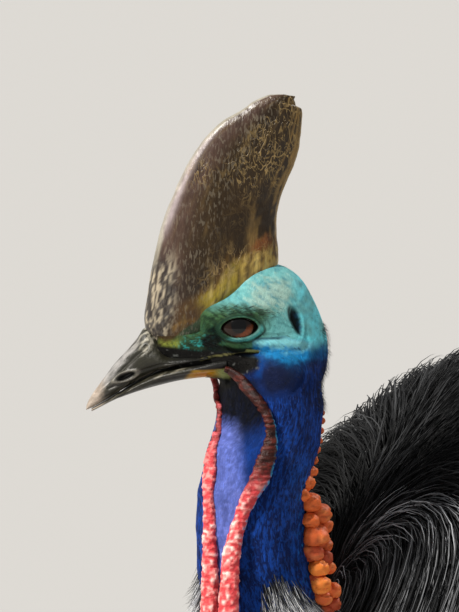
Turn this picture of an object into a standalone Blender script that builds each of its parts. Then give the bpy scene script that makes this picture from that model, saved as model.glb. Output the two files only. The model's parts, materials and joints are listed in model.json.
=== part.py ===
"""A life-size southern cassowary, standing with its neck drawn back and its head turned to its right.

The bird faces -Y with +Z up, in metres. Head and neck are modelled in the head's own axes, which an
empty places and turns: +X to the bird's left, -Y forward along the bill and +Z up, from the point
midway between the eyes. A named root empty stands the whole bird on the floor, centred on its box.
"""

import math

import bmesh
import bpy
import numpy as np

# Clearance between pieces that touch, and a millimetre.
GAP = 0.0003
MM = 0.001
# Faces that a Boolean leaves this flat to each other are joined again.
FLAT = math.radians(0.8)
WELD = 2e-6
# Edges sharper than this stay hard in the shading.
HARD_EDGE = math.radians(40)

# Rings and sides of the ellipsoids, from the eyes down to the bulbs on the nape.
EYE_BALL = (8, 14)
ROUND_BALL = (8, 12)
SLIT_BALL = (6, 12)
NOSTRIL_BALL = (8, 10)
WING_BALL = (6, 8)
EAR_BALL = (5, 8)
BULB_BALL = (4, 6)

# Stance: height of the eyes, turn of the head from the body's line, and the neck's top on that line.
EYE_HEIGHT = 0.975
HEAD_TURN = math.radians(50)
NECK_TOP_Y = -0.260
NECK_TOP_BEHIND_EYES = 0.024

# Head and neck skin: soft blobs, each (forward, up, side) and its three half sizes, in millimetres.
# A blob with a side is mirrored to the other side.
SKIN_BLOBS = {
    "cranium": ((-20, 7, 0), (36, 40.5, 29)),
    "occiput": ((-37, -19, 0), (29, 42, 28)),
    "brow": ((2, 8, 11), (30, 15, 14)),
    "face": ((34, -15, 0), (42, 15, 17)),
    "cheek": ((-33, -40, 15), (25, 24, 17)),
    "jaw": ((8, -27, 0), (46, 12.5, 21)),
    "throat": ((-8, -52, 0), (24, 26, 22)),
}
SKIN_BLEND = 9 * MM
NECK_BLEND = 5.4 * MM
# The skin is found by steps inward from this far out, each a share of the distance left.
SEARCH_START = 0.11
SEARCH_SHARE = 0.8
SEARCH_STEPS = 55

# Neck: (depth below the eyes, lean forward along the body's line, radius), in millimetres.
NECK_STATIONS = (
    (40, 0, 33),
    (60, 0, 37.5),
    (82, 5, 38.5),
    (103, 15, 39),
    (128, 23, 39.5),
    (150, 24, 40),
    (175, 22, 41),
    (205, 14, 44),
    (240, -8, 46),
    (285, -48, 43),
)
NECK_FOOT_DEPTH = 0.275
NECK_PLEAT = 0.0007
SKIN_SIDES = 24

# The skin's cross sections lie across the neck, then turn about a pivot in front of the throat.
PIVOT_FORWARD = 0.042
PIVOT_DEPTH = 0.088
PIVOT_REACH = 0.061
PIVOT_REACH_GAIN = 0.006
PIVOT_REACH_BULGE = 0.023
TURNING_SECTIONS = 15
FACE_UP = -0.021
FACE_END = 0.060
FACE_SECTIONS = 3
NECK_SECTIONS = 9

# Eyes, in the head's axes.
EYE_SIDE = 0.0172
EYE_HALF = (0.0128, 0.0160, 0.0160)
LID_THICKNESS = 0.0017
LID_OPENING = (0.0150, 0.0138, 0.0076)
LID_RISE = 0.0003

# Ear openings.
EAR_FORWARD = -0.043
EAR_UP = 0.006
EAR_SIDE = 0.0275
EAR_HALF = (0.0070, 0.0045, 0.0108)
EAR_RIM = 0.0016
EAR_RIM_SUNK = 0.003
EAR_CUP_PROUD = 0.004
EAR_TILT = math.radians(14)

# Casque: (front forward, front up, rear forward, rear up, half thickness), in millimetres.
CASQUE_STATIONS = (
    (54, -26, -4, 17, 9),
    (61.5, -16.5, -12, 33, 15),
    (71.5, 1, -27, 44, 18.5),
    (69, 26.5, -28.5, 56.5, 18.5),
    (65, 49.5, -27.5, 68.5, 17),
    (58.5, 76.5, -27.5, 82.5, 15),
    (51, 96.5, -30, 95.5, 13),
    (41, 118.5, -34.5, 108.5, 11.5),
    (29, 137.5, -40, 120.5, 10),
    (15, 152.5, -44, 133.5, 8.6),
    (0, 161.5, -45, 146.5, 7.2),
    (-10, 169, -46.5, 158.5, 5.6),
    (-22, 173.5, -46.5, 165.5, 4.2),
    (-31, 174, -44, 168.5, 2.2),
)
CASQUE_SIDES = 16
CASQUE_RINGS = 18
CASQUE_FULLNESS = 0.85

# Bill, in millimetres along (forward, up): the culmen, the line of the mouth and the lower edge.
CULMEN = (
    (10, -20), (30, -19.5), (48, -20), (56, -18), (62, -8), (68, -2), (72.5, -2.2), (76.8, -8.6),
    (83.6, -16.8), (94.6, -29.1), (102.8, -40.1), (109.7, -49.7), (113.6, -56), (116, -62),
)
MOUTH = (
    (-2, -19), (17, -21.5), (28, -24.5), (54, -31), (69, -37.5), (83, -45), (96, -53), (108, -60.2),
    (116, -64),
)
GONYS = (
    (-2, -26), (10, -36), (34, -39.2), (48, -41.5), (67, -46.3), (85, -51.8), (96, -56.5),
    (105, -61.2), (110, -63.8), (113, -65),
)
BILL_HALF_WIDTH = (
    (-2, 19),
    (20, 21.5),
    (45, 19.5),
    (60, 17.2),
    (75, 13.5),
    (90, 10.3),
    (103, 7),
    (112, 4),
    (116, 2),
)
UPPER_BILL_SPAN = (0.024, 0.1155)
LOWER_BILL_SPAN = (0.014, 0.1115)
BILL_NARROWING = 0.38
BILL_LEAST = 0.0007
BILL_SIDES = 12
BILL_STATIONS = 13
MOUTH_GAP = 0.0005
NOSTRIL = (86, -38.5, 13)
NOSTRIL_HALF = (0.0050, 0.0088, 0.0022)
NOSTRIL_TILT = math.radians(-20)

# Mouth line behind the bill: a shallow groove in the head to the corner of the mouth.
GAPE_FORWARD = -0.0135
GAPE_UP = -0.0165
GAPE_CUT = 0.0008
GAPE_START = (0.022, -0.0222)
GAPE_SIDE = 0.030
GAPE_REACH = 0.0115

# Wattles: (forward, up, side, half width, half thickness), in millimetres in the head's axes.
NEAR_WATTLE = (
    (10, -30, 20, 3.6, 2.5),
    (1.5, -36, 25, 4.6, 2.8),
    (-4, -41.5, 29, 4.6, 3),
    (-11, -48, 32, 4.4, 3),
    (-16.5, -55, 35, 4, 3),
    (-21.5, -65, 38, 3.6, 2.8),
    (-23, -76, 40, 4, 3),
    (-21.7, -86, 42, 5.6, 3.4),
    (-18, -98, 46, 7, 4),
    (-14, -109, 50, 7.2, 4.2),
    (-7, -121.5, 55, 6.2, 4.4),
    (-1, -136, 59, 5.4, 4.4),
    (4, -152, 62, 5.8, 4.8),
    (7, -170, 64, 7, 5.2),
    (8, -190, 66, 7.4, 5.6),
    (9, -212, 67.5, 8, 6),
    (10, -234, 68.5, 9, 6.4),
    (10.5, -252, 69, 8.4, 6),
    (11, -263, 69, 4.6, 3.6),
)
FAR_WATTLE = (
    (20, -40, -14, 3, 2.5),
    (17, -50, -6, 3.2, 2.6),
    (14, -62, 12, 2.4, 2.2),
    (14.5, -76, 22, 2.8, 2.6),
    (17.5, -86, 27, 4, 3.2),
    (21, -96, 32, 6, 4),
    (22, -108, 38, 6.4, 4.2),
    (22.3, -122, 43, 4.6, 4),
    (22.6, -140, 47, 5, 4.4),
    (22.6, -156, 48.5, 5.6, 4.8),
    (22.4, -172, 49, 6.6, 5.2),
    (22.2, -192, 49.5, 7.2, 5.6),
    (22.6, -214, 49.5, 8, 6),
    (23, -236, 49.5, 8.6, 6.2),
    (23, -252, 49.5, 7.6, 5.6),
    (23, -262, 49.5, 4.4, 3.4),
)
WATTLE_SIDES = 7
WATTLE_RINGS = 21
WATTLE_WRINKLE = 0.0007
# Share of a wattle's half thickness by which its middle stays clear of the skin.
WATTLE_STANDS_OFF = 0.45

# Nape caruncles: a line of small bulbs down the hind neck that widens into two lappets.
CARUNCLE_LINE = (-0.060, -0.118)
CARUNCLE_LINE_COUNT = 5
CARUNCLE_LINE_SIZE = 0.0042
CARUNCLE_LAPPET = (-0.128, -0.222)
CARUNCLE_ROWS = 7
CARUNCLE_SIZE = 0.0108
CARUNCLE_SPAN = (math.radians(-2), math.radians(-96))
CARUNCLE_PROUD = 0.4
CARUNCLE_HANG = (0.001, 0.005)
CARUNCLE_SEED = 11

# Body: the outer surface of the coat is an egg on its side, (half width, half length, half depth).
BODY_HALF = (0.222, 0.425, 0.232)
BODY_CENTRE_Y = 0.092
BODY_CENTRE_Z = 0.720
FRONT_DROP = 0.036
REAR_DROP = 0.115
BODY_TAPER = 0.14
WIDEST_AT = 0.15
# The plumes lie along lines that run from a pole at the nape to one under the tail.
POLE_TILT = math.radians(30)
NAPE_HOLLOW = 0.055
NAPE_HOLLOW_REACH = 0.76
CORE_DEPTH = 0.024
CORE_RINGS = 11
CORE_SIDES = 18

# Locks: each tier starts at a polar angle, and its locks overlap the next tier's roots.
TIERS = (0.22, 0.62, 1.02, 1.42, 1.80, 2.18)
TAIL_TIERS = (2.60, 2.78)
TAIL_CUT_POLAR = 2.58
LOCK_LENGTH = 0.250
LOCK_SPACING = 0.152
LOCK_HALF_WIDTH = 0.090
LOCK_THICK = 0.0040
LOCK_LIFT = 0.009
LOCK_STACK = 0.008
LOCK_DROOP = 0.085
# Stations down a lock: share of its length, share of its half width, and height over the coat's surface.
LOCK_STATIONS = ((0, 0.70, -0.040), (0.34, 1.0, -0.019), (0.66, 0.94, -0.005), (0.88, 0.60, 0.004))
LOCK_SECTION_EDGE = 0.6
LOCK_MOST_SPREAD = 0.55
LOCK_SEED = 5

# Legs: joints of the left leg.
KNEE = (0.118, 0.020, 0.640)
HOCK = (0.106, 0.212, 0.372)
FOOT = (0.104, 0.132, 0.046)
LEG_SIDES = 9

# Feathered thigh: half width and half depth at the knee, and how much smaller it is at its end.
THIGH_START = 0.05
THIGH_END = 0.80
THIGH_RINGS = 6
THIGH_SIDES = 12
THIGH_HALF = (0.060, 0.086)
THIGH_TAPER = (0.038, 0.060)
THIGH_TAPER_CURVE = (1.3, 1.2)
THIGH_LOCKS = 8
THIGH_LOCK_LENGTH = 0.105
THIGH_LOCK_HALF_WIDTH = 0.026
THIGH_LOCK_START = 0.50
THIGH_LOCK_STAGGER = 0.07
# Stations down a thigh lock: share of its length, share of its half width, and height over the thigh.
THIGH_LOCK_STATIONS = ((0, 0.8, -0.012), (0.35, 1.0, 0.001), (0.75, 0.75, 0.006))
THIGH_LOCK_TIP = 0.026
THIGH_LOCK_TIP_SHARE = 0.16
THIGH_LOCK_SEED = 3

# Shank: share of the way from the knee to the hock, half width and half depth.
SHANK_STATIONS = ((0.62, 0.026, 0.029), (0.80, 0.021, 0.024), (0.93, 0.024, 0.028))
# The joint below it: share of the way from the hock to the foot, half width and half depth.
HOCK_STATIONS = ((0.01, 0.028, 0.031), (0.07, 0.026, 0.029), (0.15, 0.021, 0.024))
SHANK_RINGS = 8

# Tarsus: half width and half depth of its middle, and what its two ends add.
TARSUS_HALF = (0.0165, 0.0190)
TARSUS_AT_HOCK = (0.0045, 0.0050)
TARSUS_AT_FOOT = (0.0085, 0.0070)
TARSUS_SCUTES = 8
SCUTE_LENGTH = 0.90
SCUTE_STEP = 0.0013
FOOT_PAD_HALF = (0.0270, 0.0300, 0.0260)
FOOT_PAD_BEHIND = -0.003
FOOT_PAD_HEIGHT = 0.0235

# Toes: name, turn outward from straight ahead, length, half width, claw length, claw radius.
TOES = (
    ("inner", -27, 0.086, 0.0145, 0.108, 0.0085),
    ("middle", -1, 0.150, 0.0165, 0.046, 0.0090),
    ("outer", 27, 0.108, 0.0140, 0.038, 0.0080),
)
TOE_START = 0.012
TOE_SIDES = 8
TOE_SCUTES = 4
TOE_WIDE = (1.08, 0.34)
TOE_TALL = (1.10, 0.42)
TOE_MIDDLE_HEIGHT = 0.80
TOE_SWELL = 0.09
TOE_SWELLS = 2.5

# Claws: a cone that starts inside the toe, arches a little and comes down to the floor.
CLAW_ROOT = 0.010
CLAW_RINGS = 5
CLAW_SIDES = 6
CLAW_START_HEIGHT = 0.78
CLAW_ARCH = 0.002
CLAW_TIP_HEIGHT = 0.0032
CLAW_TIP_RADIUS = 0.0011
CLAW_OFF_FLOOR = 0.0006

# Wings: a short stub under the coat and the bare quills that it carries.
WING_ROOT = (0.212, 0.000, 0.735)
WING_STUB_HALF = (0.016, 0.044, 0.022)
QUILLS = 5
QUILL_LENGTH = 0.330
QUILL_RADIUS = 0.0026
QUILL_CLEARANCE = 0.020
QUILL_SIDES = 4
QUILL_STATIONS = 6
QUILL_DOWN = (math.radians(38), math.radians(22))
QUILL_TIP = 0.0003


def clear_scene():
    """Removes what the scene holds, so that only the bird is in it."""
    for thing in list(bpy.data.objects):
        bpy.data.objects.remove(thing, do_unlink=True)


def empty(name, location=(0, 0, 0), turn=0.0, parent=None):
    """An empty that carries a group of pieces, turned about the vertical."""
    holder = bpy.data.objects.new(name, None)
    bpy.context.scene.collection.objects.link(holder)
    holder.location = location
    holder.rotation_euler = (0, 0, turn)
    holder.parent = parent
    return holder


def finish_of(name, colour, roughness, metallic=0.0):
    """A Principled BSDF material."""
    made = bpy.data.materials.new(name)
    made.use_nodes = True
    shader = made.node_tree.nodes["Principled BSDF"]
    shader.inputs["Base Color"].default_value = (*colour, 1)
    shader.inputs["Roughness"].default_value = roughness
    shader.inputs["Metallic"].default_value = metallic
    return made


def mesh_piece(name, points, faces, finish=None, parent=None):
    """A named object from points and faces, with its normals facing out."""
    mesh = bpy.data.meshes.new(name)
    mesh.from_pydata([tuple(map(float, p)) for p in points], [], faces)
    work = bmesh.new()
    work.from_mesh(mesh)
    bmesh.ops.recalc_face_normals(work, faces=work.faces)
    bmesh.ops.triangulate(work, faces=work.faces)
    work.to_mesh(mesh)
    work.free()
    mesh.shade_smooth()
    mesh.set_sharp_from_angle(angle=HARD_EDGE)
    made = bpy.data.objects.new(name, mesh)
    bpy.context.scene.collection.objects.link(made)
    made.parent = parent
    if finish:
        mesh.materials.append(finish)
    return made


def lofted(name, rings, finish=None, parent=None):
    """A closed surface through equal rings of points, capped at both ends by fans to their centres."""
    rings = np.asarray(rings, float)
    count, sides = rings.shape[:2]
    points = list(rings.reshape(-1, 3)) + [rings[0].mean(0), rings[-1].mean(0)]
    first_centre = count * sides
    faces = []
    for ring in range(count - 1):
        for side in range(sides):
            a = ring * sides + side
            b = ring * sides + (side + 1) % sides
            faces.append((a, b, b + sides, a + sides))
    for side in range(sides):
        after = (side + 1) % sides
        last = (count - 1) * sides
        faces.append((after, side, first_centre))
        faces.append((last + side, last + after, first_centre + 1))
    return mesh_piece(name, points, faces, finish, parent)


def ellipsoid(name, centre, half, ball, parent, tilt=0.0, finish=None):
    """A closed ellipsoid with half sizes along X, Y and Z, tilted about X; ball is its rings and sides."""
    rings, sides = ball
    work = bmesh.new()
    bmesh.ops.create_uvsphere(work, u_segments=sides, v_segments=rings, radius=1)
    points = np.array([v.co for v in work.verts]) * half
    faces = [tuple(v.index for v in f.verts) for f in work.faces]
    work.free()
    c, s = math.cos(tilt), math.sin(tilt)
    turned = points @ np.array(((1, 0, 0), (0, c, -s), (0, s, c))).T
    return mesh_piece(name, turned + np.asarray(centre, float), faces, finish, parent)


def evaluated(piece):
    """Applies the modifiers of a piece."""
    bpy.context.view_layer.update()
    graph = bpy.context.evaluated_depsgraph_get()
    mesh = bpy.data.meshes.new_from_object(piece.evaluated_get(graph))
    piece.modifiers.clear()
    piece.data = mesh


def keep_largest(piece):
    """Leaves only the largest closed surface of a piece, which drops scraps and sealed hollows."""
    work = bmesh.new()
    work.from_mesh(piece.data)
    left = set(work.faces)
    shells = []
    while left:
        shell = set()
        front = [left.pop()]
        while front:
            face = front.pop()
            shell.add(face)
            plain = [e for e in face.edges if len(e.link_faces) == 2]
            near = {f for e in plain for f in e.link_faces if f in left}
            left -= near
            front += near
        shells.append(shell)

    def size_of(shell):
        spots = np.array([f.calc_center_median() for f in shell])
        return float(np.prod(spots.max(0) - spots.min(0) + 1e-4))

    shells.sort(key=size_of)
    extra = [f for shell in shells[:-1] for f in shell]
    bmesh.ops.delete(work, geom=extra, context="FACES")
    bmesh.ops.remove_doubles(work, verts=work.verts, dist=WELD)
    bmesh.ops.dissolve_degenerate(work, dist=WELD, edges=work.edges)
    bmesh.ops.dissolve_limit(work, angle_limit=FLAT, verts=work.verts, edges=work.edges)
    bmesh.ops.triangulate(work, faces=work.faces)
    work.to_mesh(piece.data)
    work.free()


def combined(piece, others, operation, solver="EXACT"):
    """Applies one Boolean of a piece with several closed pieces, then removes those."""
    group = bpy.data.collections.new(piece.name + "_with")
    bpy.context.scene.collection.children.link(group)
    for other in others:
        for held in list(other.users_collection):
            held.objects.unlink(other)
        group.objects.link(other)
    joint = piece.modifiers.new("combine", "BOOLEAN")
    joint.operation = operation
    joint.operand_type = "COLLECTION"
    joint.collection = group
    joint.solver = solver
    evaluated(piece)
    for other in others:
        bpy.data.objects.remove(other, do_unlink=True)
    bpy.data.collections.remove(group)
    keep_largest(piece)
    return piece


def grown_copy(piece, by=GAP):
    """A copy of a closed piece with every wall moved outward."""
    work = bmesh.new()
    work.from_mesh(piece.data)
    work.normal_update()
    moved = [v.co + v.normal * by * min(v.calc_shell_factor(), 2.0) for v in work.verts]
    for vertex, spot in zip(work.verts, moved):
        vertex.co = spot
    mesh = bpy.data.meshes.new(piece.name + "_grown")
    work.to_mesh(mesh)
    work.free()
    copy = bpy.data.objects.new(mesh.name, mesh)
    bpy.context.scene.collection.objects.link(copy)
    copy.parent = piece.parent
    return copy


def hull_of(piece):
    """The convex hull of a piece, a plain shape that clears room for all of it."""
    work = bmesh.new()
    for vertex in piece.data.vertices:
        work.verts.new(vertex.co)
    found = bmesh.ops.convex_hull(work, input=work.verts)
    loose = {g for g in found["geom_interior"] + found["geom_unused"] if isinstance(g, bmesh.types.BMVert)}
    bmesh.ops.delete(work, geom=list(loose), context="VERTS")
    bmesh.ops.remove_doubles(work, verts=work.verts, dist=2 * MM)
    work.verts.index_update()
    points = [tuple(v.co) for v in work.verts]
    faces = [tuple(v.index for v in f.verts) for f in work.faces]
    work.free()
    return mesh_piece(piece.name + "_hull", points, faces, None, piece.parent)


def cleared(piece, *others, by=GAP, solver="EXACT"):
    """Cuts a piece clear of its neighbours."""
    return combined(piece, [grown_copy(other, by) for other in others], "DIFFERENCE", solver)


def along(pairs, values):
    """Reads a line of (place, size) pairs in millimetres smoothly at places in metres."""
    table = np.array(pairs, float) * MM
    order = np.argsort(table[:, 0])
    return np.interp(values, table[order, 0], table[order, 1])


def in_head(forward, up, side):
    """A point of the head's axes from metres forward, up and to the left."""
    return np.array((side, -forward, up), float)


def neck_centre(depth):
    """The middle of the neck and its radius at a depth below the eyes."""
    table = np.array(NECK_STATIONS, float) * MM
    lean = np.interp(depth, table[:, 0], table[:, 1])
    radius = np.interp(depth, table[:, 0], table[:, 2])
    forward = -NECK_TOP_BEHIND_EYES + lean * math.cos(HEAD_TURN)
    return in_head(forward, -depth, lean * math.sin(HEAD_TURN)), radius


def ellipsoid_distance(points, centre, half):
    """About how far points are outside an ellipsoid."""
    rel = points - centre
    near = np.linalg.norm(rel / half, axis=-1)
    slope = np.linalg.norm(rel / (half * half), axis=-1) + 1e-9
    return near * (near - 1) / slope


def soft_minimum(a, b, reach):
    """The smaller of two distances, rounded where they meet."""
    share = np.clip(0.5 + 0.5 * (b - a) / reach, 0, 1)
    return b * (1 - share) + a * share - reach * share * (1 - share)


def skin_distance(points):
    """How far points in the head's axes are outside the skin of head and neck."""
    field = np.full(points.shape[:-1], 1.0)
    for (forward, up, side), (length, height, width) in SKIN_BLOBS.values():
        half = np.array((width, length, height)) * MM
        for hand in (1, -1) if side else (1,):
            centre = in_head(forward * MM, up * MM, hand * side * MM)
            field = soft_minimum(field, ellipsoid_distance(points, centre, half), SKIN_BLEND)
    depths = np.array(NECK_STATIONS, float)[:, 0] * MM
    for upper, lower in zip(depths[:-1], depths[1:]):
        (a, ra), (b, rb) = neck_centre(upper), neck_centre(lower)
        span = b - a
        share = np.clip((points - a) @ span / (span @ span), 0, 1)
        radius = ra + (rb - ra) * share
        gap = np.linalg.norm(points - (a + share[..., None] * span), axis=-1) - radius
        field = soft_minimum(field, gap, NECK_BLEND)
    return field


def skin_ring(origin, outward, pleat=0.0):
    """One closed section of the skin, in the plane of outward and the side, found from its middle."""
    turn = np.linspace(0, 2 * math.pi, SKIN_SIDES, endpoint=False)
    rays = np.cos(turn)[:, None] * outward + np.sin(turn)[:, None] * np.array((1.0, 0, 0))
    reach = np.full(SKIN_SIDES, SEARCH_START)
    for _ in range(SEARCH_STEPS):
        reach -= SEARCH_SHARE * skin_distance(origin + rays * reach[:, None])
    reach += pleat * np.where(np.arange(SKIN_SIDES) % 2, -1, 1)
    return origin + rays * reach[:, None]


def head_rings():
    """Sections of the head, from the top of the neck round to the face inside the bill."""
    back = in_head(-1, 0, 0)
    up = in_head(0, 1, 0)
    pivot = in_head(PIVOT_FORWARD, -PIVOT_DEPTH, 0)
    start = neck_centre(PIVOT_DEPTH)[0]
    rings = []
    for share in np.linspace(0, 1, TURNING_SECTIONS):
        angle = share * math.pi / 2
        outward = math.cos(angle) * back + math.sin(angle) * up
        reach = PIVOT_REACH + PIVOT_REACH_GAIN * share + PIVOT_REACH_BULGE * math.sin(2 * angle)
        origin = pivot + outward * reach + (1 - share) * np.array((start[0], 0, 0))
        rings.append(skin_ring(origin, outward))
    for forward in np.linspace(PIVOT_FORWARD, FACE_END, FACE_SECTIONS + 1)[1:]:
        rings.append(skin_ring(in_head(forward, FACE_UP, 0), up))
    rings[0][:, 2] += GAP
    return rings


def neck_rings():
    """Sections of the neck from its foot in the body to the head, with upright pleats."""
    back = in_head(-1, 0, 0)
    depths = np.linspace(NECK_FOOT_DEPTH, PIVOT_DEPTH, NECK_SECTIONS)
    return [skin_ring(neck_centre(d)[0], back, pleat=NECK_PLEAT) for d in depths]


def casque_rings():
    """Sections of the horn casque, each an ellipse from its front edge to its rear edge."""
    turn = np.linspace(0, 2 * math.pi, CASQUE_SIDES, endpoint=False)
    rings = []
    for ff, fu, rf, ru, thick in smooth_path(np.array(CASQUE_STATIONS) * MM, CASQUE_RINGS):
        front = in_head(ff, fu, 0)
        rear = in_head(rf, ru, 0)
        middle = (front + rear) / 2
        chord = (front - rear) / 2
        bulge = np.sign(np.sin(turn)) * np.abs(np.sin(turn)) ** CASQUE_FULLNESS * thick
        rings.append(middle + np.cos(turn)[:, None] * chord + bulge[:, None] * np.array((1.0, 0, 0)))
    return rings


def bill_rings(top, bottom, span, narrow_at_top):
    """Sections of one half of the bill, each across the bill at one place forward.

    The half narrows towards its top where narrow_at_top is 1, and towards its underside where it is -1.
    """
    turn = np.linspace(0, 2 * math.pi, BILL_SIDES, endpoint=False)
    rings = []
    for forward in np.linspace(*span, BILL_STATIONS):
        high = float(top(forward))
        low = float(bottom(forward))
        half = max((high - low) / 2, BILL_LEAST)
        middle = (high + low) / 2
        wide = float(along(BILL_HALF_WIDTH, forward))
        tall = np.sin(turn)
        across = np.cos(turn) * wide * (1 - BILL_NARROWING * tall * narrow_at_top)
        rings.append([in_head(forward, middle + half * t, a) for t, a in zip(tall, across)])
    return rings


def tube_rings(path, half_width, half_depth, sides, side_axis, wrinkle=0.0):
    """Sections square to a path, with a half width along the side axis and a half depth across it."""
    path = np.asarray(path, float)
    tangents = np.gradient(path, axis=0)
    tangents /= np.linalg.norm(tangents, axis=1)[:, None]
    turn = np.linspace(0, 2 * math.pi, sides, endpoint=False)
    rings = []
    for i, (spot, tangent) in enumerate(zip(path, tangents)):
        axis = np.asarray(side_axis[i] if np.ndim(side_axis) == 2 else side_axis, float)
        wide = axis - tangent * (axis @ tangent)
        wide /= np.linalg.norm(wide)
        deep = np.cross(tangent, wide)
        more = wrinkle * (1 if i % 2 else -1)
        rings.append(
            spot
            + np.cos(turn)[:, None] * wide * (half_width[i] + more)
            + np.sin(turn)[:, None] * deep * (half_depth[i] + more)
        )
    return rings


def smooth_path(points, count):
    """A finer path through control points, by cubic pieces that keep their tangents."""
    points = np.asarray(points, float)
    knots = np.arange(len(points))
    slopes = np.gradient(points, axis=0)
    places = np.linspace(0, len(points) - 1, count)
    left = np.clip(np.floor(places).astype(int), 0, len(points) - 2)
    t = (places - knots[left])[:, None]
    a, b = points[left], points[left + 1]
    ta, tb = slopes[left], slopes[left + 1]
    return (
        a * (2 * t**3 - 3 * t**2 + 1)
        + ta * (t**3 - 2 * t**2 + t)
        + b * (3 * t**2 - 2 * t**3)
        + tb * (t**3 - t**2)
    )


def wattle(name, stations, finish, parent):
    """One hanging wattle with a wrinkled surface."""
    fine = smooth_path(np.array(stations, float) * MM, WATTLE_RINGS)
    path = np.stack([fine[:, 2], -fine[:, 0], fine[:, 1]], axis=1)
    depth = np.maximum(-path[:, 2], 0.03)
    outward = path - np.array([neck_centre(d)[0] for d in depth])
    outward[:, 2] = 0
    outward /= np.linalg.norm(outward, axis=1)[:, None]
    buried = np.maximum(fine[:, 4] * WATTLE_STANDS_OFF - skin_distance(path), 0)
    path += outward * buried[:, None]
    side_axis = np.cross(outward, (0, 0, 1.0))
    rings = tube_rings(path, fine[:, 3], fine[:, 4], WATTLE_SIDES, side_axis, WATTLE_WRINKLE)
    return lofted(name, rings, finish, parent)


def bulb_at(up, angle, proud, size, parent):
    """A ball on the hind neck at a height and an angle from straight back, standing proud of the skin."""
    centre, _ = neck_centre(-up)
    origin = np.array((centre[0], centre[1], up))
    ray = np.array((math.sin(angle), math.cos(angle), 0))
    reach = SEARCH_START
    for _ in range(SEARCH_STEPS):
        reach -= SEARCH_SHARE * float(skin_distance(origin + ray * reach))
    return ellipsoid("bulb", origin + ray * (reach + proud), (size, size, size), BULB_BALL, parent)


def caruncles(parent, finish):
    """The orange bulbs down the hind neck, each a ball sunk in the next."""
    draw = np.random.default_rng(CARUNCLE_SEED)
    first, last = CARUNCLE_SPAN
    bulbs = []
    for up in np.linspace(*CARUNCLE_LINE, CARUNCLE_LINE_COUNT):
        size = CARUNCLE_LINE_SIZE * draw.uniform(0.9, 1.2)
        bulbs.append(bulb_at(up, first, size * CARUNCLE_PROUD, size * 1.9, parent))
    for row, up in enumerate(np.linspace(*CARUNCLE_LAPPET, CARUNCLE_ROWS)):
        span = (last - first) * min(1.0, 0.25 + row / 3)
        for place in (0, 0.5, 1) if row > 1 else (0, 0.6):
            angle = first + span * place + draw.normal(0, 0.04)
            edge = abs(2 * place - 1)
            size = CARUNCLE_SIZE * draw.uniform(0.92, 1.15)
            bulbs.append(bulb_at(up, angle, size * CARUNCLE_PROUD * edge, size, parent))
            if edge == 1 and row > 0:
                hang = up - draw.uniform(*CARUNCLE_HANG)
                bulbs.append(bulb_at(hang, angle, size * 1.7, size * 0.9, parent))
    first_bulb = bulbs.pop(0)
    first_bulb.name = "nape_caruncles"
    first_bulb.data.materials.append(finish)
    return combined(first_bulb, bulbs, "UNION", "MANIFOLD")


def body_surface(polar, around, out):
    """A point of the coat's surface: polar angle from the nape, angle round from the back's ridge,
    and the distance out of the coat's outer surface."""
    polar, around, out = np.broadcast_arrays(
        np.asarray(polar, float), np.asarray(around, float), np.asarray(out, float)
    )
    c, s = math.cos(POLE_TILT), math.sin(POLE_TILT)
    ring = np.sin(polar)
    across = ring * np.sin(around)
    ridge = ring * np.cos(around)
    lengthwise = -c * np.cos(polar) + s * ridge
    upright = s * np.cos(polar) + c * ridge
    out = out - NAPE_HOLLOW * np.exp(-((polar / NAPE_HOLLOW_REACH) ** 2))
    wide = 1 - BODY_TAPER * (lengthwise - WIDEST_AT) ** 2
    drop = np.where(lengthwise > 0.1, REAR_DROP, FRONT_DROP) * (lengthwise - 0.1) ** 2
    return np.stack(
        [
            (BODY_HALF[0] + out) * wide * across,
            BODY_CENTRE_Y + (BODY_HALF[1] + out) * lengthwise,
            BODY_CENTRE_Z - drop + (BODY_HALF[2] + out) * upright,
        ],
        axis=-1,
    )


def body_core(name, out, parent, finish=None, rings=CORE_RINGS, sides=CORE_SIDES):
    """The smooth closed body at a distance out of the coat's surface."""
    polar = np.linspace(0, math.pi, rings + 2)[1:-1]
    around = np.linspace(0, 2 * math.pi, sides, endpoint=False)
    made = [body_surface(p, around, out) for p in polar]
    return lofted(name, made, finish, parent)


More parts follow.
